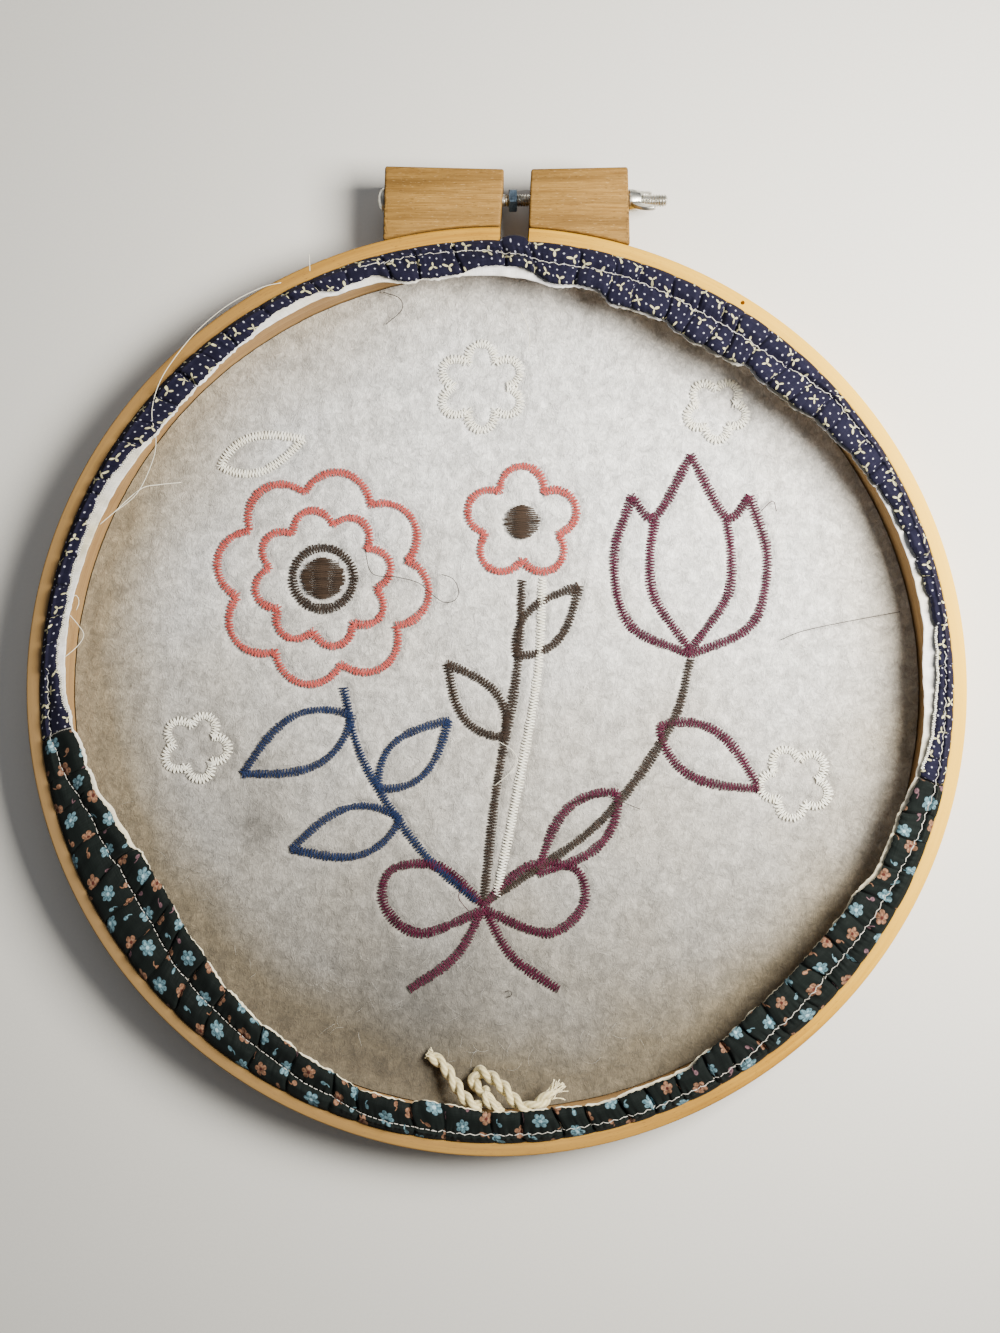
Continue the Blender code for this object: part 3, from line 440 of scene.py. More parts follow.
def battingFelt():
    # needled batting: grey-white, its fibres bunched in tufts and short streaks that catch the light, warmer
    # and darker towards the lower left and round the rim, darker towards the bottom with partly dust and
    # partly painted shade, with painted shade round the rim and painted light towards the right, and with
    # darker grey patches: two broad ones and small ones, each by its place, its reach and its depth
    greyPatches = ((-0.030, -0.120, 0.048, 0.40), (-0.040, -0.130, 0.075, 0.25), (-0.097, -0.032, 0.035, 0.22),
               (-0.091, -0.050, 0.016, 0.75), (-0.083, 0.028, 0.009, 0.4), (-0.112, -0.017, 0.008, 0.35),
               (-0.060, -0.105, 0.008, 0.4), (0.118, 0.006, 0.007, 0.3), (-0.021, 0.022, 0.010, 0.25))
    material, shader, add = newMaterial("needledBatting", Sheen_Weight=0.25, Sheen_Roughness=0.6,
                                        Specular_IOR_Level=0.2)
    place = add("TexCoord").outputs["Object"]
    split = add("SeparateXYZ", place)
    clouds = add("TexNoise", place, named={"Scale": 22.0, "Detail": 4.0})
    bend = add("TexNoise", place, named={"Scale": 240.0, "Detail": 2.0}).outputs["Color"]
    bent = add("VectorMath", bend, [0.005] * 3, place, operation="MULTIPLY_ADD")
    blots = add("TexNoise", bent, named={"Scale": 210.0, "Detail": 5.0, "Roughness": 0.62})
    tufts = add("TexNoise", bent, named={"Scale": 700.0, "Detail": 4.0, "Roughness": 0.7})
    fibres = []
    for turn in (0.35, -0.75, 1.5):
        strands = add("Mapping", bent, named={"Scale": (2400, 330, 1), "Rotation": (0, 0, turn)})
        fibres.append(add("TexNoise", strands, named={"Scale": 1.0, "Detail": 2.0}))
    fibre = add("Math", add("Math", *fibres[:2], operation="MAXIMUM"), fibres[2], operation="MAXIMUM")
    lean = add("Math", split.outputs["X"], -0.5, 0.26, operation="MULTIPLY_ADD")
    lean = add("Math", split.outputs["Y"], -2.7, lean, operation="MULTIPLY_ADD")
    warm = add("Math", clouds, 0.7, add("Math", lean, 0.35, operation="SUBTRACT"), operation="MULTIPLY_ADD")
    reach = add("VectorMath", add("Mapping", place, named={"Scale": (1, 1, 0)}), operation="LENGTH")
    left = add("MapRange", split.outputs["X"], 0.0, -0.14, 0.55, 0.9)
    warm = add("Math", add("MapRange", reach, 0.128, 0.163), left, warm, operation="MULTIPLY_ADD",
               use_clamp=True)
    colour = add("Mix", warm, linear("#d9d8d7"), linear("#9f9177"), data_type="RGBA")
    shade = add("MapRange", blots, 0.36, 0.64, 0.75, 1.17)
    shade = add("Math", shade, add("MapRange", tufts, 0.36, 0.64, 0.80, 1.16), operation="MULTIPLY")
    shade = add("Math", shade, add("MapRange", fibre, 0.5, 0.68, 0.93, 1.14), operation="MULTIPLY")
    # darker towards the bottom: partly dust and partly painted shade
    dustAndPaintedShade = add("MapRange", split.outputs["Y"], -0.17, 0.07, 0.38, 1.0, interpolation_type="SMOOTHSTEP")
    # painted shade near the rim
    dustAndPaintedShade = add("Math", dustAndPaintedShade, add("MapRange", reach, 0.115, 0.165, 1.0, 0.88), operation="MULTIPLY")
    # painted light towards the right and painted shade towards the left
    dustAndPaintedShade = add("Math", dustAndPaintedShade, add("MapRange", split.outputs["X"], -0.15, 0.13, 0.80, 1.10),
                operation="MULTIPLY")
    shade = add("Math", shade, dustAndPaintedShade, operation="MULTIPLY")
    # darker grey patches
    for x, y, size, depth in greyPatches:
        gap = add("VectorMath", bent, (x, y, 0.004), operation="DISTANCE").outputs["Value"]
        shade = add("Math", shade, add("MapRange", gap, 0.0, size, 1 - depth * 0.6, 1.0,
                                       interpolation_type="SMOOTHERSTEP"), operation="MULTIPLY")
    colour = add("Mix", 1.0, colour, shade, data_type="RGBA", blend_type="MULTIPLY")
    height = add("Math", add("Math", blots, 1.6, tufts, operation="MULTIPLY_ADD"), fibre, operation="ADD")
    wire(material, shader, Base_Color=colour, Roughness=add("MapRange", tufts, 0.3, 0.7, 1.0, 0.85),
         Normal=add("Bump", named={"Strength": 0.7, "Distance": 0.0007, "Height": height}))
    return material


def sewingThread(name, colour, shadow):
    # mercerised sewing thread: a soft sheen, and each stitch and ply mixed between its lit colour and a
    # painted shaded one, in a different tone on each stitch
    material, shader, add = newMaterial(name, Sheen_Weight=0.02, Specular_IOR_Level=0.22)
    place = add("TexCoord").outputs["Object"]
    tone = add("Attribute", attribute_name="tone").outputs["Fac"]
    ply = add("TexNoise", place, named={"Scale": 2600.0, "Detail": 2.0})
    # how far each stitch and ply lies between the lit colour and the painted shaded one
    mixed = add("Math", tone, 0.5, add("Math", ply, 0.5, operation="MULTIPLY"), operation="MULTIPLY_ADD")
    wire(material, shader, Base_Color=add("Mix", mixed, linear(shadow), linear(colour), data_type="RGBA"),
         Roughness=add("MapRange", ply, 0.3, 0.7, 0.4, 0.65),
         Normal=add("Bump", named={"Strength": 0.4, "Distance": 0.0001, "Height": ply}))
    return material


def cottonString():
    # unbleached cotton cord: cream, each strand a bundle of fine yarns that wind round it, with painted shade
    # darkening the grooves between the yarns
    material, shader, add = newMaterial("cottonString", Sheen_Weight=0.25, Sheen_Roughness=0.5)
    split = add("SeparateXYZ", add("TexCoord").outputs["UV"])
    wind = add("Math", split.outputs["X"], 4 * math.tau, operation="MULTIPLY")
    wind = add("Math", split.outputs["Y"], 2100.0, wind, operation="MULTIPLY_ADD")
    # the grooves between the yarns are darker: painted shade
    yarn = add("MapRange", add("Math", wind, operation="SINE"), -1.0, 1.0)
    fuzz = add("TexNoise", add("TexCoord").outputs["Object"], named={"Scale": 1500.0, "Detail": 4.0})
    mixed = add("Math", yarn, 0.45, add("Math", fuzz, 0.6, operation="MULTIPLY"), operation="MULTIPLY_ADD")
    colour = add("Mix", mixed, linear("#9c8a55"), linear("#ecdfb0"), data_type="RGBA")
    wire(material, shader, Base_Color=colour, Roughness=add("MapRange", fuzz, 0.3, 0.7, 0.8, 0.95),
         Normal=add("Bump", named={"Strength": 0.7, "Distance": 0.0003, "Height": mixed}))
    return material


# camera and drawstring first

camera = {"place": (0.00125, 0.00945, 0.5425), "lens": 37.16}   # straight above, looking down
view = bpy.data.cameras.new("viewCamera")
view.lens = camera["lens"]
viewer = bpy.data.objects.new("viewCamera", view)
viewer.location = camera["place"]
bpy.context.scene.collection.objects.link(viewer)
bpy.context.scene.camera = viewer

string = {
    "strand": 0.00145,          # radius of each of its two strands
    "apart": 0.00113,           # from the cord's middle to a strand's
    "pitch": 0.0128,            # length of one full twist
    "sides": 12,
    "step": 0.0006,
    "diameter": 0.0039,         # through a typical point of its surface; across both strands it is 5 mm
    "drawIn": 0.0012,           # each end narrows over this length
    "lumps": 0.05,
    "end": ((-0.0058, -0.1590, 0.0176), (-0.0102, -0.1574, 0.0166), (-0.0141, -0.1541, 0.0132),
            (-0.0176, -0.1495, 0.0098), (-0.0207, -0.1455, 0.0075), (-0.0244, -0.1431, 0.0064),
            (-0.0266, -0.1421, 0.0062)),
    "loop": ((-0.0036, -0.1548, 0.0126), (-0.0070, -0.1543, 0.0094), (-0.0090, -0.1510, 0.0070),
             (-0.0066, -0.1480, 0.0076), (-0.0020, -0.1494, 0.0106), (0.0024, -0.1521, 0.0138),
             (0.0056, -0.1550, 0.0164), (0.0084, -0.1576, 0.0182), (0.0116, -0.1586, 0.0188),
             (0.0148, -0.1578, 0.0184), (0.0181, -0.1558, 0.0174), (0.0208, -0.1540, 0.0160)),
    "knot": ((0.0022, -0.1607, 0.0176), (0.0002, -0.1594, 0.0190), (-0.0026, -0.1570, 0.0186),
             (-0.0042, -0.1550, 0.0172), (-0.0038, -0.1552, 0.0152), (-0.0014, -0.1574, 0.0152),
             (0.0010, -0.1600, 0.0160)),
}


def addTwist(shape, path, size):
    # two strands wound round each other along the path
    side, over = routeFrames(path)
    lengths = lengthsAlong(path)
    fade = np.clip(np.minimum(lengths, lengths[-1] - lengths) / size["drawIn"], 0.7, 1)
    for strand in range(2):
        turn = math.tau * lengths / size["pitch"] + math.pi * strand
        middle = path + (side * np.cos(turn)[:, None] + over * np.sin(turn)[:, None]) * size["apart"]
        lump = 1 + size["lumps"] * waves(lengths * 900, strand * 5.0 + 0 * lengths, 31)
        addTube(shape, middle, size["strand"] * fade * lump, size["sides"])


# how the yarns stand open at each end: how far back they start, as a share of the route's last 3 mm, and
# their spread, length, number and radius
frays = {
    "end": {"back": 0.3, "spread": 0.22, "length": 0.0019, "count": 60, "seed": 3, "radius": 0.00024},
    "loop": {"back": 0.4, "spread": 0.17, "length": 0.0070, "count": 46, "seed": 4, "radius": 0.00026},
}


def addFray(shape, base, direction, fray):
    rng = random.Random(fray["seed"])
    direction = Vector(direction).normalized()
    side = direction.cross(Vector((0, 0, 1))).normalized()
    over = side.cross(direction)
    for i in range(fray["count"]):
        lean = side * rng.gauss(0, fray["spread"]) + over * rng.gauss(0, fray["spread"] * 0.45)
        root = Vector(base) + side * rng.gauss(0, 0.0009) + over * rng.gauss(0, 0.0006)
        bend = side * rng.gauss(0, 0.25) + over * rng.gauss(0, 0.15)
        size = fray["length"] * rng.uniform(0.55, 1.05)
        path = [root + direction * (size * t) + lean * (size * t) + bend * (size * t * t)
                for t in (step / 5 for step in range(6))]
        addTube(shape, path, fray["radius"], 3)


cotton = cottonString()
# the same cotton where it stands open: paler and fluffier than the twisted cord
yarn, yarnShader, add = newMaterial("openYarn", Roughness=0.8, Sheen_Weight=0.3)
ply = add("TexNoise", add("TexCoord").outputs["Object"], named={"Scale": 1800.0})
colour = add("Mix", ply, linear("#c9bb88"), linear("#f2e6c0"), data_type="RGBA")
wire(yarn, yarnShader, Base_Color=colour)
drawstring = {}
for part, node in (("end", "drawstring_end"), ("loop", "drawstring_loop")):
    route = smoothRoute(string[part], string["step"])
    shape = newShape()
    addTwist(shape, route, string)
    mesh = shapeMesh("drawstring", shape)
    piece = addPiece("drawstring" + part.title(), mesh, cotton, (node,))
    out = route[-1] - route[-6]
    shape = newShape()
    addFray(shape, route[-1] - out * frays[part]["back"], out, frays[part])
    frayed = addPiece("frayed" + part.title(), shapeMesh("fray", shape), yarn)
    total = float(np.linalg.norm(np.diff(route, axis=0), axis=1).sum())
    drawstring[part] = (piece, route, total, frayed)
    print("drawstring", part, round(total * 1000, 1), "mm")

shape = newShape()
pulledTight = {**string, "strand": 0.00110, "apart": 0.00085}
addTwist(shape, smoothRoute(string["knot"], string["step"]), pulledTight)
knotPiece = addPiece("drawstringKnot", shapeMesh("knot", shape), cotton,
                     ("drawstring_knot",))

for part in ("end", "loop"):
    piece, route, total, frayed = drawstring[part]

# the gathered rim's shape

rimColumns = ("angle", "print", "lining", "stitch")     # millimetres inwards from the outer ring
rim = (
    (3, 6.4, 11.7, 0.9), (10, 5.5, 9.6, -2.0), (18, 6.6, 9.3, -2.0), (25, 7.7, 9.6, -2.0),
    (32, 10.2, 10.6, 0.0), (40, 13.0, 13.4, 2.8), (45, 16.4, 17.0, 5.3), (50, 17.4, 18.0, 7.7),
    (52, 16.1, 16.5, 8.3), (57, 19.0, 19.4, 8.7), (62, 19.5, 19.9, 8.9), (67, 17.2, 17.8, 7.9),
    (74, 18.1, 18.7, 7.1), (77, 14.2, 14.6, 7.3), (83, 15.3, 16.6, 7.8), (88, 10.2, 14.4, 5.6),
    (92, 10.0, 13.6, 4.2), (97, 12.9, 13.4, 3.9), (103, 12.5, 13.0, 2.3), (107, 7.3, 10.1, 0.5),
    (112, 8.1, 9.6, -2.0), (115, 5.7, 8.5, -2.0), (120, 5.5, 8.7, -2.0), (127, 8.5, 8.8, -2.0),
    (135, 10.0, 10.6, -2.0), (140, 10.4, 10.8, -2.0), (144, 10.3, 11.0, -2.0), (148, 7.6, 10.4, -2.0),
    (153, 5.5, 9.5, -2.0), (162, 6.4, 9.2, -2.0), (170, 7.4, 8.9, -2.0), (176, 6.4, 9.6, 0.0),
    (180, 8.5, 10.2, 1.2), (185, 11.0, 12.1, 2.3), (190, 14.7, 15.1, 5.7), (196, 16.3, 18.0, 10.0),
    (200, 20.0, 21.9, 13.0), (205, 22.1, 24.0, 15.0), (208, 25.2, 25.6, 15.3), (215, 26.3, 26.5, 15.1),
    (223, 24.0, 24.4, 12.3), (230, 20.2, 21.2, 11.0), (238, 17.7, 18.8, 9.1), (247, 15.0, 15.8, 6.3),
    (253, 12.5, 12.9, 3.7), (259, 12.5, 13.0, 2.2), (262, 14.4, 14.7, 2.0), (270, 12.1, 12.5, 1.4),
    (278, 12.2, 12.8, 1.9), (285, 10.4, 11.7, 0.8), (290, 11.5, 13.2, 0.8), (297, 11.5, 13.0, 1.7),
    (300, 13.8, 15.1, 2.5), (302, 14.6, 14.9, 3.7), (310, 17.4, 17.8, 6.2), (320, 18.1, 18.5, 7.6),
    (330, 16.6, 17.8, 6.5), (335, 12.7, 14.2, 5.9), (343, 12.9, 14.0, 4.2), (349, 9.8, 11.2, 3.3),
    (355, 7.7, 11.0, 2.5),
)
rimRows = np.array(rim + ((rim[0][0] + 360,) + rim[0][1:],), float)

seam = {"right": -11.9, "left": 186.4}
# the printed cloths: the size each was cut to, and runs of pleats as start, end, count and height
panels = {
    "navy": {"seed": 5, "node": "navy_cloth", "slot": "navy_print", "flat": (0.44, 0.25), "area": 0.086,
             "pleats": ((-11.9, 15.0, 9, 0.0011), (15.0, 45.0, 9, 0.0012), (45.0, 75.0, 8, 0.0018),
                        (75.0, 105.0, 6, 0.0015), (105.0, 135.0, 7, 0.0011), (135.0, 186.4, 13, 0.0008))},
    "green": {"seed": 6, "node": "green_cloth", "slot": "green_print", "flat": (0.44, 0.195), "area": 0.068,
              "pleats": ((186.4, 225.0, 8, 0.0019), (225.0, 270.0, 8, 0.0018), (270.0, 315.0, 11, 0.0016),
                         (315.0, 348.1, 8, 0.0015))},
}
pleat = {
    "jitter": 0.22,
    "heights": (0.6, 1.25),
    "scallop": 0.0007,          # how far a pleat draws the rim's edge out and in
    "leanMean": -0.9,           # degrees that a crease leans over "leanReach", and how that swings
    "leanSwing": -0.9,
    "leanReach": 0.015,
    "bend": 0.32,               # degrees that a crease bends to and fro, how often that turns and by how much
    "bends": 13,
    "bendLength": 0.0042,
    "bendShift": 3,
    "form": ((0, 0), (0.03, 0.32), (0.08, 0.64), (0.17, 0.88), (0.3, 0.97), (0.5, 1), (0.66, 0.96),
             (0.8, 0.84), (0.9, 0.64), (0.96, 0.38), (1, 0)),
    "cuts": (0.0003, 0.0014),   # depth of the sharp groove where one pleat tucks under the next
    "cutWidth": 0.00045,
    "over": 0.30,               # how far a pleat bulges over the ring's edge, for its height
    "bulge": 0.0020,            # and how far the cloth fills the outer ring's gap
    "tuck": (0.0015, 0.0045),   # cloth hidden in each fold, which offsets the print
    "tuckTurn": 0.3,            # degrees over which it goes in
}


def rimAt(angle, column):
    angle = (np.asarray(angle, float) - rimRows[0, 0]) % 360 + rimRows[0, 0]
    row = np.clip(np.searchsorted(rimRows[:, 0], angle, side="right") - 1, 0, len(rimRows) - 2)
    low, high = rimRows[row], rimRows[row + 1]
    share = (angle - low[..., 0]) / (high[..., 0] - low[..., 0])
    share = share * share * (3 - 2 * share)
    place = rimColumns.index(column)
    return (low[..., place] + share * (high[..., place] - low[..., place])) / 1000


def creasesOf(panel):
    rng = random.Random(panel["seed"])
    found = []
    for start, end, count, height in panel["pleats"]:
        for i in range(count):
            wander = rng.uniform(-pleat["jitter"], pleat["jitter"]) if i else 0.0
            place = start + (end - start) * (i + wander) / count
            found.append((place, height * rng.uniform(*pleat["heights"])))
    return found


creases = np.array(creasesOf(panels["navy"]) + creasesOf(panels["green"]) + [(seam["right"] + 360, 0.0)])
tuckDraw = random.Random(12)
tucks = np.array([tuckDraw.uniform(*pleat["tuck"]) for _ in creases])
cuts = np.array([tuckDraw.uniform(*pleat["cuts"]) for _ in creases])
cuts[creases[:, 0] > panels["green"]["pleats"][2][0]] *= 2.0            # deepest on the lower right
cuts[(creases[:, 0] > 92) & (creases[:, 0] < 180)] *= 2.2               # and where the navy rim is narrow


def pleatAt(angle):
    # the pleat that an angle falls in: its share of full height, its height, and the groove beside it
    angle = (np.asarray(angle, float) - seam["right"]) % 360 + seam["right"]
    row = np.clip(np.searchsorted(creases[:, 0], angle, side="right") - 1, 0, len(creases) - 2)
    start, end = creases[row, 0], creases[row + 1, 0]
    share = np.clip((angle - start) / (end - start), 0, 1)
    form = np.interp(share, *zip(*pleat["form"]))
    near = np.minimum(angle - start, end - angle) * math.pi / 180 * hoop["datum"]
    cut = np.where(share < 0.5, cuts[row], cuts[row + 1])
    return form, creases[row, 1], cut * np.exp(-(near / pleat["cutWidth"]) ** 2)


def leaned(angle, radius):
    # creases lean and bend, so a place on the rim lies at this angle in the finished cloth
    lean = pleat["leanMean"] + pleat["leanSwing"] * np.cos(np.radians(angle - seam["left"]))
    reach = hoop["datum"] - radius
    shift = np.sin(np.radians(angle) * pleat["bends"]) * pleat["bendShift"]
    bend = pleat["bend"] * np.sin(reach / pleat["bendLength"] + shift)
    return angle + lean * reach / pleat["leanReach"] + bend


rimRest = {
    "shoulderInset": 0.0006,
    "bead": 0.0026,                 # width of the rolled edge, at most this share of the rim's
    "beadMost": 0.3,
    "stitchShares": (0.42, 0.88),   # the seam keeps between these shares of the width
    "stitchLeast": 0.0015,
    # from the edge over the bead, the seam and the middle beyond it to the shoulder: how far the cloth puffs
    # up, and its share of the pleats' height
    "puffs": (0.0002, 0.0012, 0.0, 0.0010, 0.0007),
    "lifts": (0.90, 1.00, 0.55, 0.90, 0.55),
    "unsewn": (0.0013, 0.42),       # more puff and lift where the seam is under the outer ring
    "sink": 0.0002,
    "fullPleat": 0.0013,            # pleats of this height and more have their whole groove
    "dent": (0.0004, 0.0006),       # depth of the seam's dent, and what is added along the casing
    "dentWidth": 0.00055,
    "casing": (222, 40, 4),         # middle, half width and fade of the lower left stretch, in degrees
    "pucker": (0.00020, 0.00018),   # height of the puckers, and what is added at the lower right
    "puckerWidth": 0.0032,
    "puckerMost": (312, 40),
    "rumple": 0.00016,
}
shoulder = hoop["wrap"] - hoop["cloth"] - rimRest["shoulderInset"]


def serration(angle):
    return 0.00022 * waves(angle * 5.2, angle * 0, 17, 4)


def rimEdge(angle):
    form, _, _ = pleatAt(angle)
    return hoop["datum"] - rimAt(angle, "print") + pleat["scallop"] * (0.5 - form) + serration(angle)


def stitchRadius(angle):
    tip = rimEdge(angle)
    width = shoulder - tip
    share = np.clip((hoop["datum"] - rimAt(angle, "stitch") - tip) / width, *rimRest["stitchShares"])
    return np.minimum(tip + share * width, shoulder - rimRest["stitchLeast"])


def clothHeight(angle, radius):
    tip = rimEdge(angle)
    width = shoulder - tip
    share = np.clip((radius - tip) / width, 0, 1)
    stitch = (stitchRadius(angle) - tip) / width
    bead = np.minimum(rimRest["bead"] / width, rimRest["beadMost"])
    places = [0 * bead, bead, stitch, (stitch + 1) / 2, 0 * bead + 1]
    sewn = np.clip(rimAt(angle, "stitch") * 1000 - 0.2, 0, 1)       # 0 where the outer ring hides the seam
    morePuff, moreLift = (1 - sewn) * rimRest["unsewn"][0], (1 - sewn) * rimRest["unsewn"][1]
    puffs, lifts = list(rimRest["puffs"]), list(rimRest["lifts"])
    puffs[2:] = puffs[2] + morePuff, puffs[3] + morePuff, puffs[4] + morePuff / 2
    lifts[2] = lifts[2] + moreLift
    puff = np.zeros(np.broadcast(share, stitch).shape)
    lift = np.zeros_like(puff)
    for i in range(4):
        t = np.clip((share - places[i]) / (places[i + 1] - places[i]), 0, 1)
        t = t * t * (3 - 2 * t)
        inside = (share >= places[i]) & ((share <= places[i + 1]) | (i == 3))
        puff = np.where(inside, puffs[i] * (1 - t) + puffs[i + 1] * t, puff)
        lift = np.where(inside, lifts[i] * (1 - t) + lifts[i + 1] * t, lift)
    form, height, groove = pleatAt(angle)
    arc = np.radians(angle) * hoop["datum"]
    fromStitch = np.asarray(radius) - stitchRadius(angle)
    z = hoop["printTop"] - rimRest["sink"] + puff + lift * height * form
    z = z - groove * np.minimum(1, height / rimRest["fullPleat"]) * (0.3 + 0.7 * lift)
    middle, half, fade = rimRest["casing"]
    casing = 1 / (1 + np.exp((np.abs(angle % 360 - middle) - half) / fade))
    dent, more = rimRest["dent"]
    z = z - (dent + more * casing) * sewn * np.exp(-(fromStitch / rimRest["dentWidth"]) ** 2)
    pucker, more = rimRest["pucker"]
    middle, half = rimRest["puckerMost"]
    pucker = pucker + more * np.exp(-((angle % 360 - middle) / half) ** 2)
    near = np.exp(-(fromStitch / rimRest["puckerWidth"]) ** 2)
    z = z + pucker * near * waves(arc * 2300, radius * 150, 23, 5) * (0.4 + 0.6 * sewn)
    return z + rimRest["rumple"] * waves(arc * 900, radius * 260, 29)


def rimPoints(angle, radius, lift=0.0):
    return around(leaned(angle, radius), radius, clothHeight(angle, radius) + lift)


# where the sheet turns over the inner ring and runs down to the flat front: how far inside the wrap, the
# height, and the share of the pleats' bulge
wrapRows = (
    (0.0004, hoop["printTop"] - 0.00030, 0.6), (0.0, hoop["printTop"] - 0.0007, 1.0),
    (0.0, hoop["printTop"] - 0.0010, 1.0), (0.0, hoop["printTop"] - 0.0025, 0.0), (0.0, 0.0100, 0.0),
    (0.0, 0.0016, 0.0), (0.0003, 0.0005, 0.0), (0.0010, 0.0001, 0.0),
)
sheet = {
    "step": 0.15,               # degrees between its columns of points
    "thick": 0.00038,
    "frontRows": 5,
    "frontHeight": 0.00002,
    "nearSeam": 0.0011,         # rows lie closer within this distance of the hem's seam
    "seamRows": (-0.0007, -0.00035, 0.0, 0.00035, 0.0007),
    "gapEdge": 0.15,            # the bulge in the outer ring's gap ends this many degrees from its ends
}


def thicken(piece, thick):
    wall = piece.modifiers.new("thickness", "SOLIDIFY")
    wall.thickness = thick
    wall.offset = -1


def printedCloth(name, panel, start, end, material):
    gapTurn = math.degrees(hoop["air"] / 2 / hoop["datum"])
    angles = np.linspace(start + gapTurn, end - gapTurn, round((end - start) / sheet["step"]))
    tip, stitch, near = rimEdge(angles), stitchRadius(angles), sheet["nearSeam"]
    inner = tip + np.linspace(0, 1, 9)[:, None] ** 0.85 * (stitch - near - tip)
    seamed = stitch + np.array(sheet["seamRows"])[:, None]
    outer = stitch + near + np.linspace(0, 1, 8)[:, None] * (shoulder - stitch - near)
    radii = np.vstack([inner, seamed, outer])
    rows = [rimPoints(angles[None, :], radii)]
    across = [shoulder - radii]
    down, last, lastZ = 0.0, shoulder, hoop["printTop"]
    form, high, _ = pleatAt(angles)
    middle = sum(hoop["gap"]) / 2
    inGap = np.clip(1 - np.abs(angles - middle) / (hoop["gap"][1] - middle - sheet["gapEdge"]), 0, 1)
    for inset, height, share in wrapRows:
        radius = hoop["wrap"] - inset
        down += math.hypot(radius - last, height - lastZ)
        last, lastZ = radius, height
        out = share * pleat["over"] * high * form + pleat["bulge"] * inGap ** 0.3 * (height > 0.002)
        rows.append(around(angles, radius + out, height)[None])
        across.append(np.full((1, len(angles)), -down))
    corner = around(angles, last, lastZ)
    share = np.linspace(0, 1, len(angles))[:, None]
    chord = corner[0] + share * (corner[-1] - corner[0])
    for i in range(1, sheet["frontRows"] + 1):
        t = i / sheet["frontRows"]
        row = corner + t * (chord - corner)
        row[:, 2] = sheet["frontHeight"]
        rows.append(row[None])
        across.append(-down - np.linalg.norm(row - corner, axis=1)[None])
    points = np.vstack(rows)
    across = np.vstack(across)
    passed = np.searchsorted(creases[:, 0], angles, side="right") - 1
    tucked = np.concatenate([[0], np.cumsum(tucks)])[passed]
    tucked = tucked + np.clip((angles - creases[passed, 0]) / pleat["tuckTurn"], 0, 1) * tucks[passed]
    along = np.radians(angles) * hoop["printRadius"] + tucked
    uvs = np.stack([np.broadcast_to(along, across.shape), across], -1)
    shape = newShape()
    addGrid(shape, points[::-1], uvs[::-1])
    piece = addPiece(name, shapeMesh(name, shape, 2e-6), material, (panel["node"],))
    thicken(piece, sheet["thick"])
    print(name, "done,", len(piece.data.polygons), "faces")


printedCloth("navyPanel", panels["navy"], seam["right"], seam["left"], navyCotton())
printedCloth("greenPanel", panels["green"], seam["left"], seam["right"] + 360, greenCotton())

lining = {
    "inset": 0.0005,
    "edgeWidth": 0.0030,        # width of the part that droops between the pleats
    "overRing": 0.0010,
    "flatLeast": 0.0020,
    "drop": 0.45,               # how far it droops, for the height of the pleats over it
    "curl": 0.00028,
    "sink": 0.0001,
    "ragged": 0.00018,
    "cut": 0.00045,             # its edge stands this much further out than the rim's table says
    "shown": 0.0001,            # but at least this much of it shows past the print
    "lower": ((168, 7), (334, 6)),      # beside the green cloth: from, to, and the fade at each
    "lowerCut": 0.0004,                 # its edge stands further out there
    "hidden": (0.00045, 0.00025),       # and may lie under the print by this much, unevenly
    "tucked": (203, 8),                 # from this degree on it is tucked in more
    "tuckedCut": 0.0005,
    "tuckedHidden": 0.0006,
    "step": 0.25,
    "thick": 0.00035,
}


def liningFlat(angle):
    # 0 where the lining ends with the print, 1 where it shows on its own and lies flat
    return np.clip((rimAt(angle, "lining") - rimAt(angle, "print")) * 1000 - 0.8, 0, 1)


def liningEdge(angle):
    form, _, _ = pleatAt(angle)
    gathered = 1 - 0.85 * liningFlat(angle)
    edge = hoop["datum"] - rimAt(angle, "lining") + gathered * pleat["scallop"] * (0.5 - form)
    edge = edge + gathered * (serration(angle) + lining["ragged"] * waves(angle * 3.1, angle * 0, 41, 5))
    turn = angle % 360
    (start, fadeIn), (end, fadeOut) = lining["lower"]
    lower = np.clip((turn - start) / fadeIn, 0, 1) * np.clip((end - turn) / fadeOut, 0, 1)
    start, fadeIn = lining["tucked"]
    tucked = lower * np.clip((turn - start) / fadeIn, 0, 1)
    mean, swing = lining["hidden"]
    uneven = mean + swing * waves(angle * 0.5, angle * 0, 47, 4)
    return np.minimum(edge + lining["cut"] + lining["lowerCut"] * lower + lining["tuckedCut"] * tucked,
                      rimEdge(angle) - lining["shown"] + lower * uneven + lining["tuckedHidden"] * tucked)


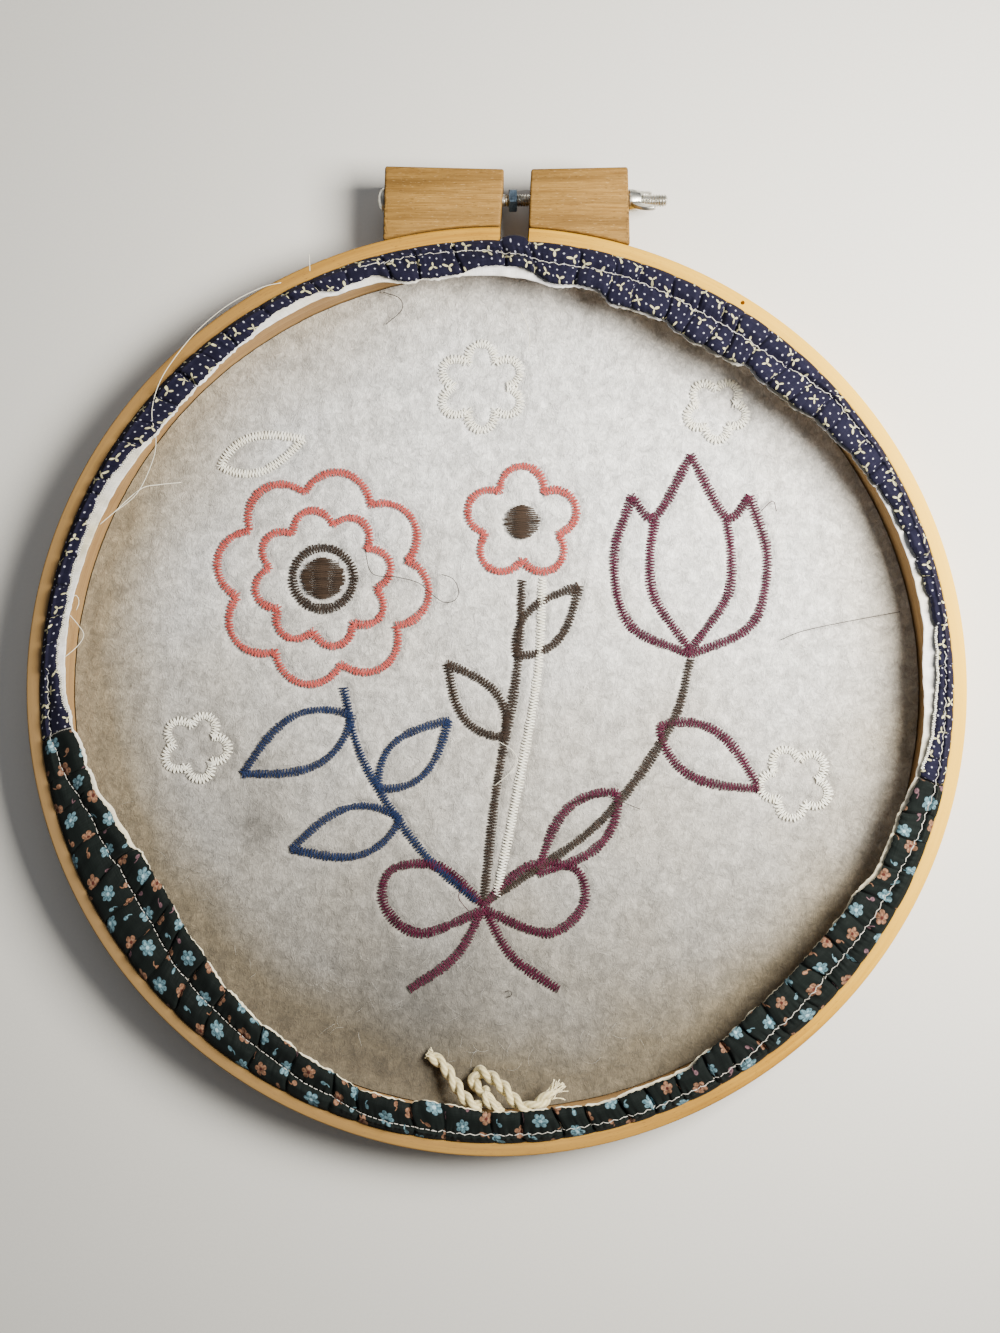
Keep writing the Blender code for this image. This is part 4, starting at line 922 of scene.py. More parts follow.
def whiteLining():
    angles = np.linspace(seam["right"], seam["right"] + 360, round(360 / lining["step"]) + 1)
    form, height, _ = pleatAt(angles)
    edge = liningEdge(angles)
    edge[-1], form[-1], height[-1] = edge[0], form[0], height[0]
    outer = hoop["innerOutside"] - lining["inset"]
    middle = np.minimum(np.maximum(edge + lining["edgeWidth"], hoop["innerInside"] - lining["overRing"]),
                        outer - lining["flatLeast"])
    flat = hoop["liningTop"] - lining["sink"]
    rows, across = [], []
    for t in np.linspace(0, 1, 9):
        radius = edge + t * (middle - edge)
        sag = lining["drop"] * height * form * (1 - t) ** 1.4 * (1 - 0.8 * liningFlat(angles))
        curl = lining["curl"] * waves(angles * 1.9, angles * 0 + 3, 43) * (1 - t)
        curl[-1] = curl[0]
        rows.append(around(leaned(angles, radius), radius, flat - sag + curl))
        across.append(outer - radius)
    rows.append(around(leaned(angles, outer), outer, flat))
    across.append(0 * angles)
    along = np.radians(angles) * hoop["printRadius"]
    uvs = np.stack([np.broadcast_to(along, (len(rows), len(along))), np.array(across)], -1)
    shape = newShape()
    addGrid(shape, np.array(rows)[::-1], uvs[::-1])
    piece = addPiece("liningStrip", shapeMesh("lining", shape, 2e-6), whiteCotton(),
                     ("white_lining",))
    thicken(piece, lining["thick"])


whiteLining()
print("rim: printed panels and lining done")

# the wooden rings and blocks

woods = {
    # for the rings, the last pair of shares is how much painted shade darkens their left and painted light
    # yellows their right
    "bentBeech": {"colours": ("#bf8d24", "#a57416", "#785015", "#432b12"), "coordinate": "UV",
                  "grain": (22, 800, 1), "pores": (500, 2600, 1), "rough": 0.66, "paintedSideLight": (0.82, 0.72)},
    "innerBeech": {"colours": ("#ba9766", "#a58153", "#7c5c3c", "#40301e"), "coordinate": "UV",
                   "grain": (22, 800, 1), "pores": (500, 2600, 1), "rough": 0.6, "paintedSideLight": (0.2, 0.0)},
    "oakBlock": {"colours": ("#99753b", "#7c5a29", "#5b401b", "#2b1c0c"), "coordinate": "Object",
                 "grain": (75, 1900, 1900), "pores": (420, 3000, 3000), "rough": 0.66, "flecks": 0.35,
                 "ends": (-0.0430, 0.0504)},        # the blocks' outer ends
}
ringWood, innerWood, blockWood = [sandedWood(name, **wood) for name, wood in woods.items()]


def roundedSection(inside, outside, base, top, rounds):
    # radius and height pairs round a ring's cross-section, with an arc at each corner
    corners = ((outside, base, -90, rounds[0]), (outside, top, 0, rounds[1]),
               (inside, top, 90, rounds[2]), (inside, base, 180, rounds[3]))
    found = []
    for radius, height, start, size in corners:
        inX = radius - size if radius == outside else radius + size
        inZ = height + size if height == base else height - size
        for step in range(5):
            turn = math.radians(start + 90 * step / 4)
            found.append((inX + size * math.cos(turn), inZ + size * math.sin(turn)))
    walls = []
    for near, far in zip(found, found[1:] + found[:1]):
        walls.append(near)
        if math.dist(near, far) > 0.004:
            for i in range(1, 5):
                walls.append((near[0] + (far[0] - near[0]) * i / 5, near[1] + (far[1] - near[1]) * i / 5))
    return np.array(walls + [walls[0]])


def bentRing(name, section, start, end, material, node, warp, seed):
    # warp is how far the bent wood strays from a true ring
    angles = np.linspace(start, end, round((end - start) / 0.75) + 1)
    arc = np.radians(angles)
    c, s = np.cos(arc), np.sin(arc)
    radius = section[None, :, 0] + (warp * waves(c * 5, s * 5, seed))[:, None]
    height = section[None, :, 1] + warp * 0.5 * waves(c * 7, s * 7, seed + 1)[:, None]
    points = around(angles[:, None], radius, height)
    uvs = np.stack(np.broadcast_arrays(arc[:, None] * hoop["datum"], lengthsAlong(section)[None, :]), -1)
    shape = newShape()
    addGrid(shape, points, uvs, closed=True, caps=end - start < 360)
    mesh = shapeMesh(name, shape, 2e-6)
    outwards(mesh, hoop["sharp"])
    return addPiece(name, mesh, material, (node,))


outerSection = roundedSection(hoop["datum"], hoop["radius"], hoop["outerBase"], hoop["outerTop"],
                              (0.0009, 0.0009, 0.0007, 0.0007))
outerHoop = bentRing("outerHoop", outerSection, hoop["gap"][1], 360 + hoop["gap"][0], ringWood, "outer_ring",
                     0.00008, 51)
innerSection = roundedSection(hoop["innerInside"], hoop["innerOutside"], hoop["innerBase"], hoop["innerTop"],
                              (0.0008, 0.0008, 0.0017, 0.0008))
bentRing("innerHoop", innerSection, 0, 360, innerWood, "inner_ring", 0.00006, 61)

blocks = {
    "base": 0.0010, "top": 0.0230, "round": 0.0009,
    # corners along X and Y; where Y is None, the corner lies on the ring
    "left": ((0.0012, None), (0.0028, 0.1975), (-0.0422, 0.1986), (-0.0430, None)),
    "right": ((0.0504, None), (0.0496, 0.1983), (0.0130, 0.1975), (0.0122, None)),
}
screw = {
    "y": 0.1890,
    "z": 0.0122,
    "radius": 0.0024,
    "head": -0.0433,            # place of its head and of its end along X
    "end": 0.0656,
    "pitch": 0.00105,
    "groove": 0.00055,          # depth of its thread
    "threads": ((0.0030, 0.0125), (0.0500, 0.0656)),    # where the thread shows
    "station": 0.00013,
    "headRadius": 0.0046,
    "headHeight": 0.0025,
    "slotWide": 0.0011,
    "slotDeep": 0.0011,
    "slotTurn": 35,
    "bore": 0.0027,
    "past": 0.01,               # a drill goes this far past both ends
}


def borePlug(start, end):
    start, end = start - screw["past"], end + screw["past"]
    bpy.ops.mesh.primitive_cylinder_add(vertices=40, radius=screw["bore"], depth=end - start,
                                        location=((start + end) / 2, screw["y"], screw["z"]),
                                        rotation=(0, math.pi / 2, 0))
    return bpy.context.object


def baked(piece, *helpers):
    # the finished mesh in place of the modifiers and the helpers that they used
    mesh = bpy.data.meshes.new_from_object(piece.evaluated_get(bpy.context.evaluated_depsgraph_get()))
    piece.modifiers.clear()
    piece.data = mesh
    for helper in helpers:
        bpy.data.objects.remove(helper)


def combine(piece, helper, name, operation="DIFFERENCE"):
    change = piece.modifiers.new(name, "BOOLEAN")
    change.operation = operation
    change.object = helper


def prism(name, loops):
    # a solid between two matching outlines
    work = bmesh.new()
    loops = [[work.verts.new(place) for place in loop] for loop in loops]
    for i in range(len(loops[0])):
        j = (i + 1) % len(loops[0])
        work.faces.new((loops[0][i], loops[0][j], loops[1][j], loops[1][i]))
    for loop in loops:
        work.faces.new(loop)
    bmesh.ops.recalc_face_normals(work, faces=work.faces)
    mesh = bpy.data.meshes.new(name)
    work.to_mesh(mesh)
    work.free()
    return mesh


def woodBlock(name, corners, node):
    reach = hoop["radius"] + hoop["air"]
    first, last = corners[0][0], corners[-1][0]
    outline = []
    for step in range(17):
        x = last + (first - last) * step / 16
        outline.append((x, hoop["oval"] * math.sqrt(reach * reach - x * x)))
    outline += [corners[1], corners[2]]
    mesh = prism(name, [[(x, y, z) for x, y in outline] for z in (blocks["base"], blocks["top"])])
    piece = addPiece(name, mesh, blockWood, (node,))
    edges = piece.modifiers.new("edges", "BEVEL")
    edges.width = blocks["round"]
    edges.segments = 4
    edges.limit_method = "ANGLE"
    edges.angle_limit = math.radians(40)
    plug = borePlug(screw["head"], screw["end"])
    combine(piece, plug, "bore")
    baked(piece, plug)
    piece.data.shade_smooth()
    piece.data.set_sharp_from_angle(angle=math.radians(35))


def nailHole():
    # a small hole that a nail has left in the top of the outer ring
    hole = {"angle": 58.0, "radius": 0.1754, "wide": 0.00095, "deep": 0.0060}
    place = around(hole["angle"], hole["radius"], hoop["outerTop"])
    bpy.ops.mesh.primitive_cone_add(vertices=14, radius1=hole["wide"] * 0.6, radius2=hole["wide"] * 1.1,
                                    depth=2 * hole["deep"], location=place.tolist())
    drill = bpy.context.object
    combine(outerHoop, drill, "nailHole")
    baked(outerHoop, drill)
    outerHoop.data.shade_smooth()
    outerHoop.data.set_sharp_from_angle(angle=math.radians(hoop["sharp"]))


nailHole()
woodBlock("leftBlock", blocks["left"], "block_left")
woodBlock("rightBlock", blocks["right"], "block_right")
print("wood: rings and blocks done")

# screw, hexagon nut and wing nut

zinc = platedSteel("zincPlatedSteel", "#e6e4dc", "#9f9d94", 0.30)
steel = platedSteel("dullSteel", "#6f8294", "#35414d", 0.42)


def onScrew(x, radius, turn):
    # a row of points round the screw's axis
    x, radius = np.broadcast_to(x, turn.shape), np.broadcast_to(radius, turn.shape)
    return np.stack([x, screw["y"] + radius * np.cos(turn), screw["z"] + radius * np.sin(turn)], -1)


def addTurned(shape, profile, turn, lengths, caps):
    # profile rows are x and radius, which may change round the turn
    points = np.array([onScrew(x, radius, turn) for x, radius in profile])
    uvs = np.stack(np.broadcast_arrays(turn[None, :] / math.tau, np.array(lengths)[:, None]), -1)
    addGrid(shape, points, uvs, closed=True, caps=caps)


def threadWind(x, turn, radius):
    # the radius where the thread winds round
    (first, firstEnd), (second, _) = screw["threads"]
    if radius < screw["radius"] * 0.98 or not (first < x < firstEnd or x > second):
        return radius
    phase = (x / screw["pitch"] - turn / math.tau) % 1.0
    depth = 1 - np.abs(2 * phase - 1)
    ease = min(1.0, abs(x - screw["end"]) / 0.0008)
    return radius - screw["groove"] * (1 - depth) * ease


def bolt():
    head, end, radius, step = screw["head"], screw["end"], screw["radius"], screw["station"]
    high, wide = screw["headHeight"], screw["headRadius"]
    quarter = [math.pi / 2 * i / 8 for i in range(9)]
    profile = [(head - high * math.cos(a), max(wide * math.sin(a), 0.0002)) for a in quarter]
    profile += [(head + 0.0001, wide - 0.0003), (head + 0.0002, radius)]
    # close together where the thread shows
    stations = (np.linspace(head + 0.001, 0.0028, 8), np.arange(0.0030, 0.0126, step),
                np.linspace(0.0135, 0.0490, 6), np.arange(0.0500, end - 0.0006, step))
    profile += [(x, radius) for x in np.concatenate(stations)]
    profile += [(end - 0.0003, radius - 0.0006), (end, radius - 0.0010)]
    turn = np.linspace(0, math.tau, 29)
    shape = newShape()
    addTurned(shape, [(x, threadWind(x, turn, r)) for x, r in profile], turn, [x for x, _ in profile], True)
    mesh = shapeMesh("bolt", shape)
    outwards(mesh, 55)
    piece = addPiece("threadedBolt", mesh, zinc, ("bolt",))
    bpy.ops.mesh.primitive_cube_add(size=1, location=(head - high, screw["y"], screw["z"]))
    cutter = bpy.context.object
    cutter.scale = (2 * screw["slotDeep"], 4 * wide, screw["slotWide"])
    cutter.rotation_euler = (math.radians(screw["slotTurn"]), 0, 0)
    combine(piece, cutter, "slot")
    baked(piece, cutter)


def hexNut():
    size = {"x": 0.0046, "thick": 0.0032, "flats": 0.0080, "turn": 22.0}
    apothem = size["flats"] / 2
    turn = np.linspace(0, math.tau, 49)
    fromFlat = (turn - math.radians(size["turn"]) + math.pi / 6) % (math.pi / 3) - math.pi / 6
    hexagon = apothem / np.cos(fromFlat)
    face, bore = apothem * 0.97, screw["bore"]
    slope = (hexagon - face) * 0.6          # its corners are chamfered
    low, high = size["x"], size["x"] + size["thick"]
    rows = ((low, bore), (low, face), (low + slope, hexagon), (high - slope, hexagon), (high, face),
            (high, bore), (low, bore))
    shape = newShape()
    addTurned(shape, rows, turn, np.linspace(0, 0.01, len(rows)), False)
    mesh = shapeMesh("hexNut", shape, 1e-6)
    outwards(mesh, 25)
    addPiece("hexagonNut", mesh, steel, ("hex_nut",))


def wingNut():
    # a wing's outline: how far along from the hub's inner end, and how far out from the screw's middle
    size = {"x": 0.0508, "length": 0.0046, "radii": (0.0042, 0.0036), "shoulder": 0.0012, "thick": 0.0014,
            "turn": 55.0, "voxel": 0.00020,
            "outline": ((0.0006, 0.0022), (0.0012, 0.0062), (0.0030, 0.0090), (0.0060, 0.0104),
                        (0.0088, 0.0102), (0.0098, 0.0088), (0.0088, 0.0072), (0.0062, 0.0060),
                        (0.0045, 0.0046), (0.0040, 0.0022))}
    x, end = size["x"], size["x"] + size["length"]
    profile = ((x, size["radii"][0]), (x + size["shoulder"], size["radii"][0]), (end, size["radii"][1]))
    shape = newShape()
    addTurned(shape, profile, np.linspace(0, math.tau, 41), [row[0] for row in profile], True)
    hub = shapeMesh("hub", shape)
    outwards(hub)
    piece = addPiece("wingNut", hub, zinc, ("wing_nut",), body="wing_nut")
    helpers = []
    outline = smoothRoute([(a, b, 0) for a, b in size["outline"]], 0.0007)
    root = Vector((x, screw["y"], screw["z"]))
    for turn in (-math.radians(size["turn"] + 180), -math.radians(size["turn"])):
        out = Vector((0, math.cos(turn), math.sin(turn)))
        thick = Vector((0, -out.z, out.y)) * size["thick"] / 2
        loops = [[root + Vector((a, 0, 0)) + out * b + thick * side for a, b, _ in outline]
                 for side in (-1, 1)]
        wing = bpy.data.objects.new("wing", prism("wing", loops))
        bpy.context.scene.collection.objects.link(wing)
        helpers.append(wing)
        combine(piece, wing, "wing", "UNION")
    helpers.append(borePlug(x, end))
    combine(piece, helpers[-1], "bore")
    fine = piece.modifiers.new("cast", "REMESH")     # a cast nut has no sharp edges
    fine.mode = "VOXEL"
    fine.voxel_size = size["voxel"]
    soft = piece.modifiers.new("soft", "SMOOTH")
    soft.factor = 0.5
    soft.iterations = 4
    baked(piece, *helpers)
    piece.data.materials.clear()
    piece.data.materials.append(zinc)
    piece.data.shade_smooth()


bolt()
hexNut()
wingNut()
print("metal: bolt and nuts done")

# stitched outlines, seen from the back: a plain floral spray

stitch = {
    "Pitch": 0.00060,           # real stitches are 0.5 mm apart: drawn coarser, so that each one shows
    "Thread": 0.00026,
    "Arch": 0.0006,
    "Ragged": 1.2,              # how uneven the stitches' lengths are
    "Sway": 0.19,               # and how far they lean, in radians
}
heart = {"Pitch": 0.00036, "Thread": 0.00026, "Arch": 0.0010, "Ragged": 1.12, "Sway": 0.045, "Seed": 21}
felt = {
    "base": 0.0039,
    "swell": 0.00035,
    "lip": (0.0004, 0.0014),    # how far it curls up at the ring, and what is added at the bottom
    "sink": 0.0009,             # how deep the stitches pull it, and how wide their groove is
    "groove": 0.0027,
    "loft": 0.0005,             # it stands higher where no stitch within this reach holds it
    "loftReach": 0.016,
    "stitchLift": 0.00085,      # how far the outlines and the hearts lie above it
    "heartLift": 0.0016,
}


def bloom(x, y, radius, petals, depth, turn=0.0):
    # a round flower: its petals' notches are depth of its radius deep
    phi = np.linspace(0, math.tau, 40 * petals)
    lobe = np.abs(np.sin(petals * phi / 2)) ** 0.75
    r = radius * (1 - depth + depth * lobe)
    angle = phi + math.radians(turn)
    return np.stack([x + r * np.cos(angle), y + r * np.sin(angle)], -1) / 1000


def curveLine(*points):
    return smoothRoute([(px / 1000, py / 1000, 0) for px, py in points], 0.001)[:, :2]


def leafLines(x, y, length, width, turn):
    t = np.linspace(0, 1, 40)
    bulge = width / 2 * np.sin(math.pi * t ** 0.8)
    c, s = math.cos(math.radians(turn)), math.sin(math.radians(turn))
    return [np.stack([x + t * length * c - side * bulge * s,
                      y + t * length * s + side * bulge * c], -1) / 1000 for side in (1, -1)]


def mirrored(lines, middle):
    return [np.stack([2 * middle / 1000 - line[:, 0], line[:, 1]], -1) for line in lines]


# one spray of garden flowers tied with a bow, drawn for this part; millimetres, seen from the back
tulip = [curveLine((76, 14), (52, 26), (46, 52), (53, 76)), curveLine((53, 76), (62, 68), (76, 92)),
         curveLine((76, 16), (62, 36), (60, 52), (62, 67))]
bow = [curveLine((-5, -84), (-22, -69), (-41, -70), (-44, -84), (-30, -95), (-5, -86)),
       curveLine((-6, -87), (-16, -104), (-34, -117))]
outlines = {
    "plum": [*tulip, *mirrored(tulip, 76), *leafLines(64, -14, 46, 20, -32),
             *leafLines(47, -40, 44, 19, 226), *bow, *mirrored(bow, -5)],
    "coral": [bloom(-68, 44, 42, 8, 0.2, 12), bloom(-68, 44, 27, 8, 0.24, 34),
              bloom(10, 66, 22, 5, 0.36, 54)],
    "navy": [curveLine((-60, 1), (-52, -28), (-30, -62), (-8, -82)), *leafLines(-57, -10, 48, 21, 208),
             *leafLines(-38, -50, 44, 19, 196), *leafLines(-46, -38, 38, 17, 44)],
    "brown": [curveLine((10, 43), (8, 8), (0, -38), (-5, -82)),
              curveLine((76, 12), (68, -14), (40, -52), (-3, -82)), bloom(-68, 44, 12, 1, 0.0),
              *leafLines(8, 14, 36, 16, 48), *leafLines(3, -18, 36, 16, 128)],
    "cream": [bloom(-6, 119, 17, 6, 0.4, 0), bloom(-118, -22, 13, 5, 0.4, 30),
              bloom(117, -36, 14, 5, 0.4, 8), bloom(86, 110, 12, 5, 0.4, 20),
              *leafLines(-108, 88, 34, 14, 18),
              curveLine((18, 44), (16, 6), (8, -40), (0, -80))],
}
patches = {"brown": ((-68, 44, 8.0), (10, 66, 6.5))}     # solid satin hearts: place and radius
# lit and shaded colour, and the length of a stitch
threads = {
    "plum": ("#560d30", "#1e0310", 0.0036),
    "coral": ("#c65a53", "#842f2a", 0.0030),
    "navy": ("#182c54", "#080e24", 0.0032),
    "brown": ("#38291f", "#110b07", 0.0034),
    "cream": ("#fffffa", "#e0d9c2", 0.0032),
    "heart": ("#48382c", "#1a120c"),
}


def feltBase(x, y):
    # the felt's low swells, without its stitches
    swell = np.sin(41 * x + 0.6) * np.sin(37 * y + 1.1) + 0.6 * np.sin(83 * x - 61 * y)
    reach = np.hypot(x, y / hoop["oval"]) / hoop["feltRadius"]
    calm = np.clip(1 - reach ** 4, 0, 1)
    low = np.clip(-y / 0.15, 0, 1)
    lip = (felt["lip"][0] + felt["lip"][1] * low) * np.exp(-((1 - reach) * 165 / 2.5) ** 2)
    return felt["base"] + felt["swell"] * swell * calm + lip


sewnPoints = np.vstack([line for lines in outlines.values() for line in lines]
                       + [bloom(x, y, radius * share, 1, 0.0) for spots in patches.values()
                          for x, y, radius in spots for share in (0.1, 0.35, 0.6, 0.85)])
sewnTree = kdtree.KDTree(len(sewnPoints))
for number, (x, y) in enumerate(sewnPoints):
    sewnTree.insert((x, y, 0), number)
sewnTree.balance()


def feltHeight(x, y):
    x, y = np.atleast_1d(x), np.atleast_1d(y)
    reach = np.array([sewnTree.find((a, b, 0))[2] for a, b in zip(x.ravel(), y.ravel())]).reshape(x.shape)
    pull = felt["sink"] * np.exp(-(reach / felt["groove"]) ** 4)
    loft = felt["loft"] * (1 - np.exp(-(reach / felt["loftReach"]) ** 2))
    rough = 0.00016 * waves(x * 420, y * 420, 71) + 0.00010 * waves(x * 1100, y * 1100, 72)
    return feltBase(x, y) - pull + loft - 0.0002 + rough


def discGrid(cells):
    # a square grid laid evenly over a disc of radius 1
    side = np.linspace(-1, 1, cells + 1)
    u, v = np.meshgrid(side, side)
    wide = np.abs(u) >= np.abs(v)
    reach = np.where(wide, u, v)
    turn = math.pi / 4 * np.where(wide, v, u) / np.where(reach == 0, 1, reach)
    turn = np.where(wide, turn, math.pi / 2 - turn)
    return reach * np.cos(turn), reach * np.sin(turn)


def battingSheet():
    size = {"cells": 300, "base": 0.0013}
    x, y = discGrid(size["cells"])
    x, y = x * hoop["feltRadius"], y * hoop["feltRadius"] * hoop["oval"]
    top = np.stack([x, y, feltHeight(x, y)], -1)
    edge = np.concatenate([top[0, :-1], top[:-1, -1], top[-1, :0:-1], top[::-1, 0]])
    low = edge * (1, 1, 0) + (0, 0, size["base"])
    under = low * (0, 0, 1)
    side = np.stack([edge, low, under])
    shape = newShape()
    addGrid(shape, top, top[..., :2])
    addGrid(shape, side, side[..., :2], closed=True)
    mesh = shapeMesh("batting", shape)
    outwards(mesh, 60)
    return addPiece("battingPad", mesh, battingFelt(), ("batting_sheet",))


batting = battingSheet()
print("batting done")


def startTree(name, inputs, sides, bends, arch=None):
    # the line in even steps, and one bowed thread, 1 m long, to lay at each of them
    tree = bpy.data.node_groups.new(name, "GeometryNodeTree")
    sockets = {"Geometry": "Geometry", **{label: "Float" for label in inputs}, "Seed": "Int",
               "Material": "Material"}
    for label, kind in sockets.items():
        tree.interface.new_socket(label, in_out="INPUT", socket_type="NodeSocket" + kind)
    tree.interface.new_socket("Geometry", in_out="OUTPUT", socket_type="NodeSocketGeometry")
    add = functools.partial(addNode, tree)
    given = tree.nodes.new("NodeGroupInput").outputs
    line = add("GeometryNodeMeshToCurve", given["Geometry"])
    line = add("GeometryNodeResampleCurve", line, named={"Length": given["Pitch"]}, mode="LENGTH")
    middle = add("CombineXYZ", 0.0, 0.0, given["Arch"]) if arch is None else (0, 0, arch)
    curve = add("GeometryNodeCurveQuadraticBezier",
                named={"Resolution": bends, "Start": (-0.5, 0, 0), "Middle": middle, "End": (0.5, 0, 0)})
    ring = add("GeometryNodeCurvePrimitiveCircle", named={"Resolution": sides, "Radius": given["Thread"]})
    thread = add("GeometryNodeCurveToMesh", curve, ring, named={"Fill Caps": True})
    return tree, given, add, line, thread


def finishTree(given, add, line, thread, turn, length, toneSeed):
    # a thread at each step, in its own tone, made one plain mesh
    placed = add("GeometryNodeInstanceOnPoints", line,
                 named={"Instance": thread, "Rotation": turn, "Scale": add("CombineXYZ", length, 1.0, 1.0)})
    tone = add("FunctionNodeRandomValue", named={"Seed": toneSeed})
    placed = add("GeometryNodeStoreNamedAttribute", placed, named={"Name": "tone", "Value": tone},
                 domain="INSTANCE")
    real = add("GeometryNodeRealizeInstances", placed)
    add("NodeGroupOutput", add("GeometryNodeSetMaterial", real, named={"Material": given["Material"]}))


def swayed(add, turn, sway):
    # the thread's direction, turned on the cloth by this angle
    sway = add("FunctionNodeEulerToRotation", add("CombineXYZ", 0.0, 0.0, sway))
    return add("FunctionNodeRotateRotation", turn, sway, rotation_space="LOCAL")


def satinTree():
    # zigzag: threads laid across a line, leaning to and fro; the line's "wide" attribute is their length
    tree, given, add, line, thread = startTree("satinStitch", ("Pitch", "Thread", "Arch", "Ragged", "Sway"),
                                               sides=4, bends=3)
    tangent = add("GeometryNodeInputTangent")
    turn = add("FunctionNodeAlignRotationToVector", named={"Vector": tangent}, axis="Y", pivot_axis="Z")
    odd = add("Math", add("GeometryNodeInputIndex"), 2.0, operation="MODULO")
    jitter = add("FunctionNodeRandomValue", -0.5, 0.5, named={"Seed": given["Seed"]})
    sway = add("Math", add("Math", odd, 2.0, jitter, operation="MULTIPLY_ADD"), 1.0, operation="SUBTRACT")
    sway = add("Math", sway, given["Sway"], operation="MULTIPLY")
    wide = add("GeometryNodeInputNamedAttribute", named={"Name": "wide"})
    ragged = add("FunctionNodeRandomValue",
                 named={"Min": add("Math", 2.0, given["Ragged"], operation="SUBTRACT"),
                        "Max": given["Ragged"], "Seed": add("Math", given["Seed"], 7.0, operation="ADD")})
    length = add("Math", wide, ragged, operation="MULTIPLY")
    finishTree(given, add, line, thread, swayed(add, turn, sway), length,
               add("Math", given["Seed"], 19.0, operation="ADD"))
    return tree


def dashTree():
    # thread dashes along a line, every second one a little to the side
    tree, given, add, line, thread = startTree("runningStitch", ("Pitch", "Dash", "Thread", "Side"),
                                               sides=5, bends=4, arch=0.00025)
    odd = add("Math", add("GeometryNodeInputIndex"), 2.0, operation="MODULO")
    swing = add("Math", odd, 2.0, -1.0, operation="MULTIPLY_ADD")
    tangent = add("GeometryNodeInputTangent")
    turn = add("FunctionNodeAlignRotationToVector", named={"Vector": tangent}, axis="X")
    sway = add("Math", swing, given["Side"], operation="MULTIPLY")
    jitter = add("FunctionNodeRandomValue", -0.12, 0.12, named={"Seed": given["Seed"]})
    sway = add("Math", sway, jitter, operation="ADD")
    finishTree(given, add, line, thread, swayed(add, turn, sway), given["Dash"], given["Seed"])
    return tree


def grow(name, lines, tree, values, material, wides=None):
    # lines are lists of points; wides gives the stitch length at each of them
    verts, edges, width = [], [], []
    for number, line in enumerate(lines):
        first = len(verts)
        verts += [tuple(p) for p in line]
        edges += [(first + i, first + i + 1) for i in range(len(line) - 1)]
        width += list(np.broadcast_to(1.0 if wides is None else wides[number], len(line)))
    mesh = bpy.data.meshes.new(name)
    mesh.from_pydata(verts, edges, [])
    mesh.attributes.new("wide", "FLOAT", "POINT").data.foreach_set("value", np.array(width, np.float32))
    piece = addPiece(name, mesh, material)
    maker = piece.modifiers.new(name, "NODES")
    maker.node_group = tree
    values = {**values, "Material": material}
    for item in tree.interface.items_tree:
        if item.in_out == "INPUT" and item.name in values:
            maker[item.identifier] = values[item.name]
    baked(piece)
    piece.data.shade_smooth()


satin, dashes = satinTree(), dashTree()
for number, (colour, lines) in enumerate(outlines.items()):
    material = sewingThread(colour + "Thread", *threads[colour][:2])
    placed, wides = [], []
    for line in lines:
        step = smoothRoute(np.column_stack([line, np.zeros(len(line))]), 0.0015)
        z = feltHeight(step[:, 0], step[:, 1]) + felt["stitchLift"]
        placed.append(np.column_stack([step[:, :2], z]))
        uneven = waves(np.arange(len(step)) * 0.25, 0 * step[:, 0], number + 80)
        wides.append(threads[colour][2] * (1 + 0.10 * uneven))
    grow(colour + "Outlines", placed, satin, {**stitch, "Seed": number + 3}, material, wides)
    if colour in patches:
        placed, wides = [], []
        for x, y, radius in patches[colour]:
            across = np.linspace(-0.985, 0.985, 60)
            cx, cy = x / 1000 + 0 * across, y / 1000 + across * radius / 1000
            placed.append(np.column_stack([cx, cy, feltHeight(cx, cy) + felt["heartLift"]]))
            wides.append(2 * radius / 1000 * np.sqrt(1 - across ** 2))
        material = sewingThread("heartThread", *threads["heart"])
        grow(colour + "Hearts", placed, satin, heart, material, wides)
print("stitched outlines done")


def hemLines(start, end):
    # the stretches of the hem's seam that aren't hidden under the outer ring
    angles = np.arange(start, end, 0.2)
    shown = rimAt(angles, "stitch") > 0.0003
    edges = np.flatnonzero(np.diff(np.concatenate([[0], shown.astype(int), [0]])))
    runs = [angles[a:b] for a, b in zip(edges[::2], edges[1::2]) if b - a > 8]
    return [rimPoints(run, stitchRadius(run), 0.00034) for run in runs]


whiteThread = sewingThread("whiteThread", "#dcd9d2", "#a5a098")
hems = {    # first and last degree, and the sizes of the stitches
    "upperHem": ((262.0, 546.4),
                 {"Pitch": 0.0020, "Dash": 0.0022, "Thread": 0.00014, "Side": 0.32, "Seed": 5}),
    "lowerHem": ((186.4, 262.0),
                 {"Pitch": 0.0022, "Dash": 0.0015, "Thread": 0.00016, "Side": 0.06, "Seed": 6}),
}
for name, (span, sizes) in hems.items():
    grow(name, hemLines(*span), dashes, sizes, whiteThread)
overlock = {        # the navy edge, whipped beside the lining
    "spans": ((-10.5, 9.0), (147.0, 184.0)),
    "long": 0.0012,
    "sizes": {"Pitch": 0.00046, "Thread": 0.00015, "Arch": 0.0003, "Ragged": 1.15, "Sway": 0.3, "Seed": 14},
}
whipped = [np.arange(*span, 0.3) for span in overlock["spans"]]
grow("overlockEdge", [rimPoints(run, rimEdge(run) + 0.0003, 0.00015) for run in whipped], satin,
     overlock["sizes"], bpy.data.materials["creamThread"], [overlock["long"]] * len(whipped))
print("hem stitches done")

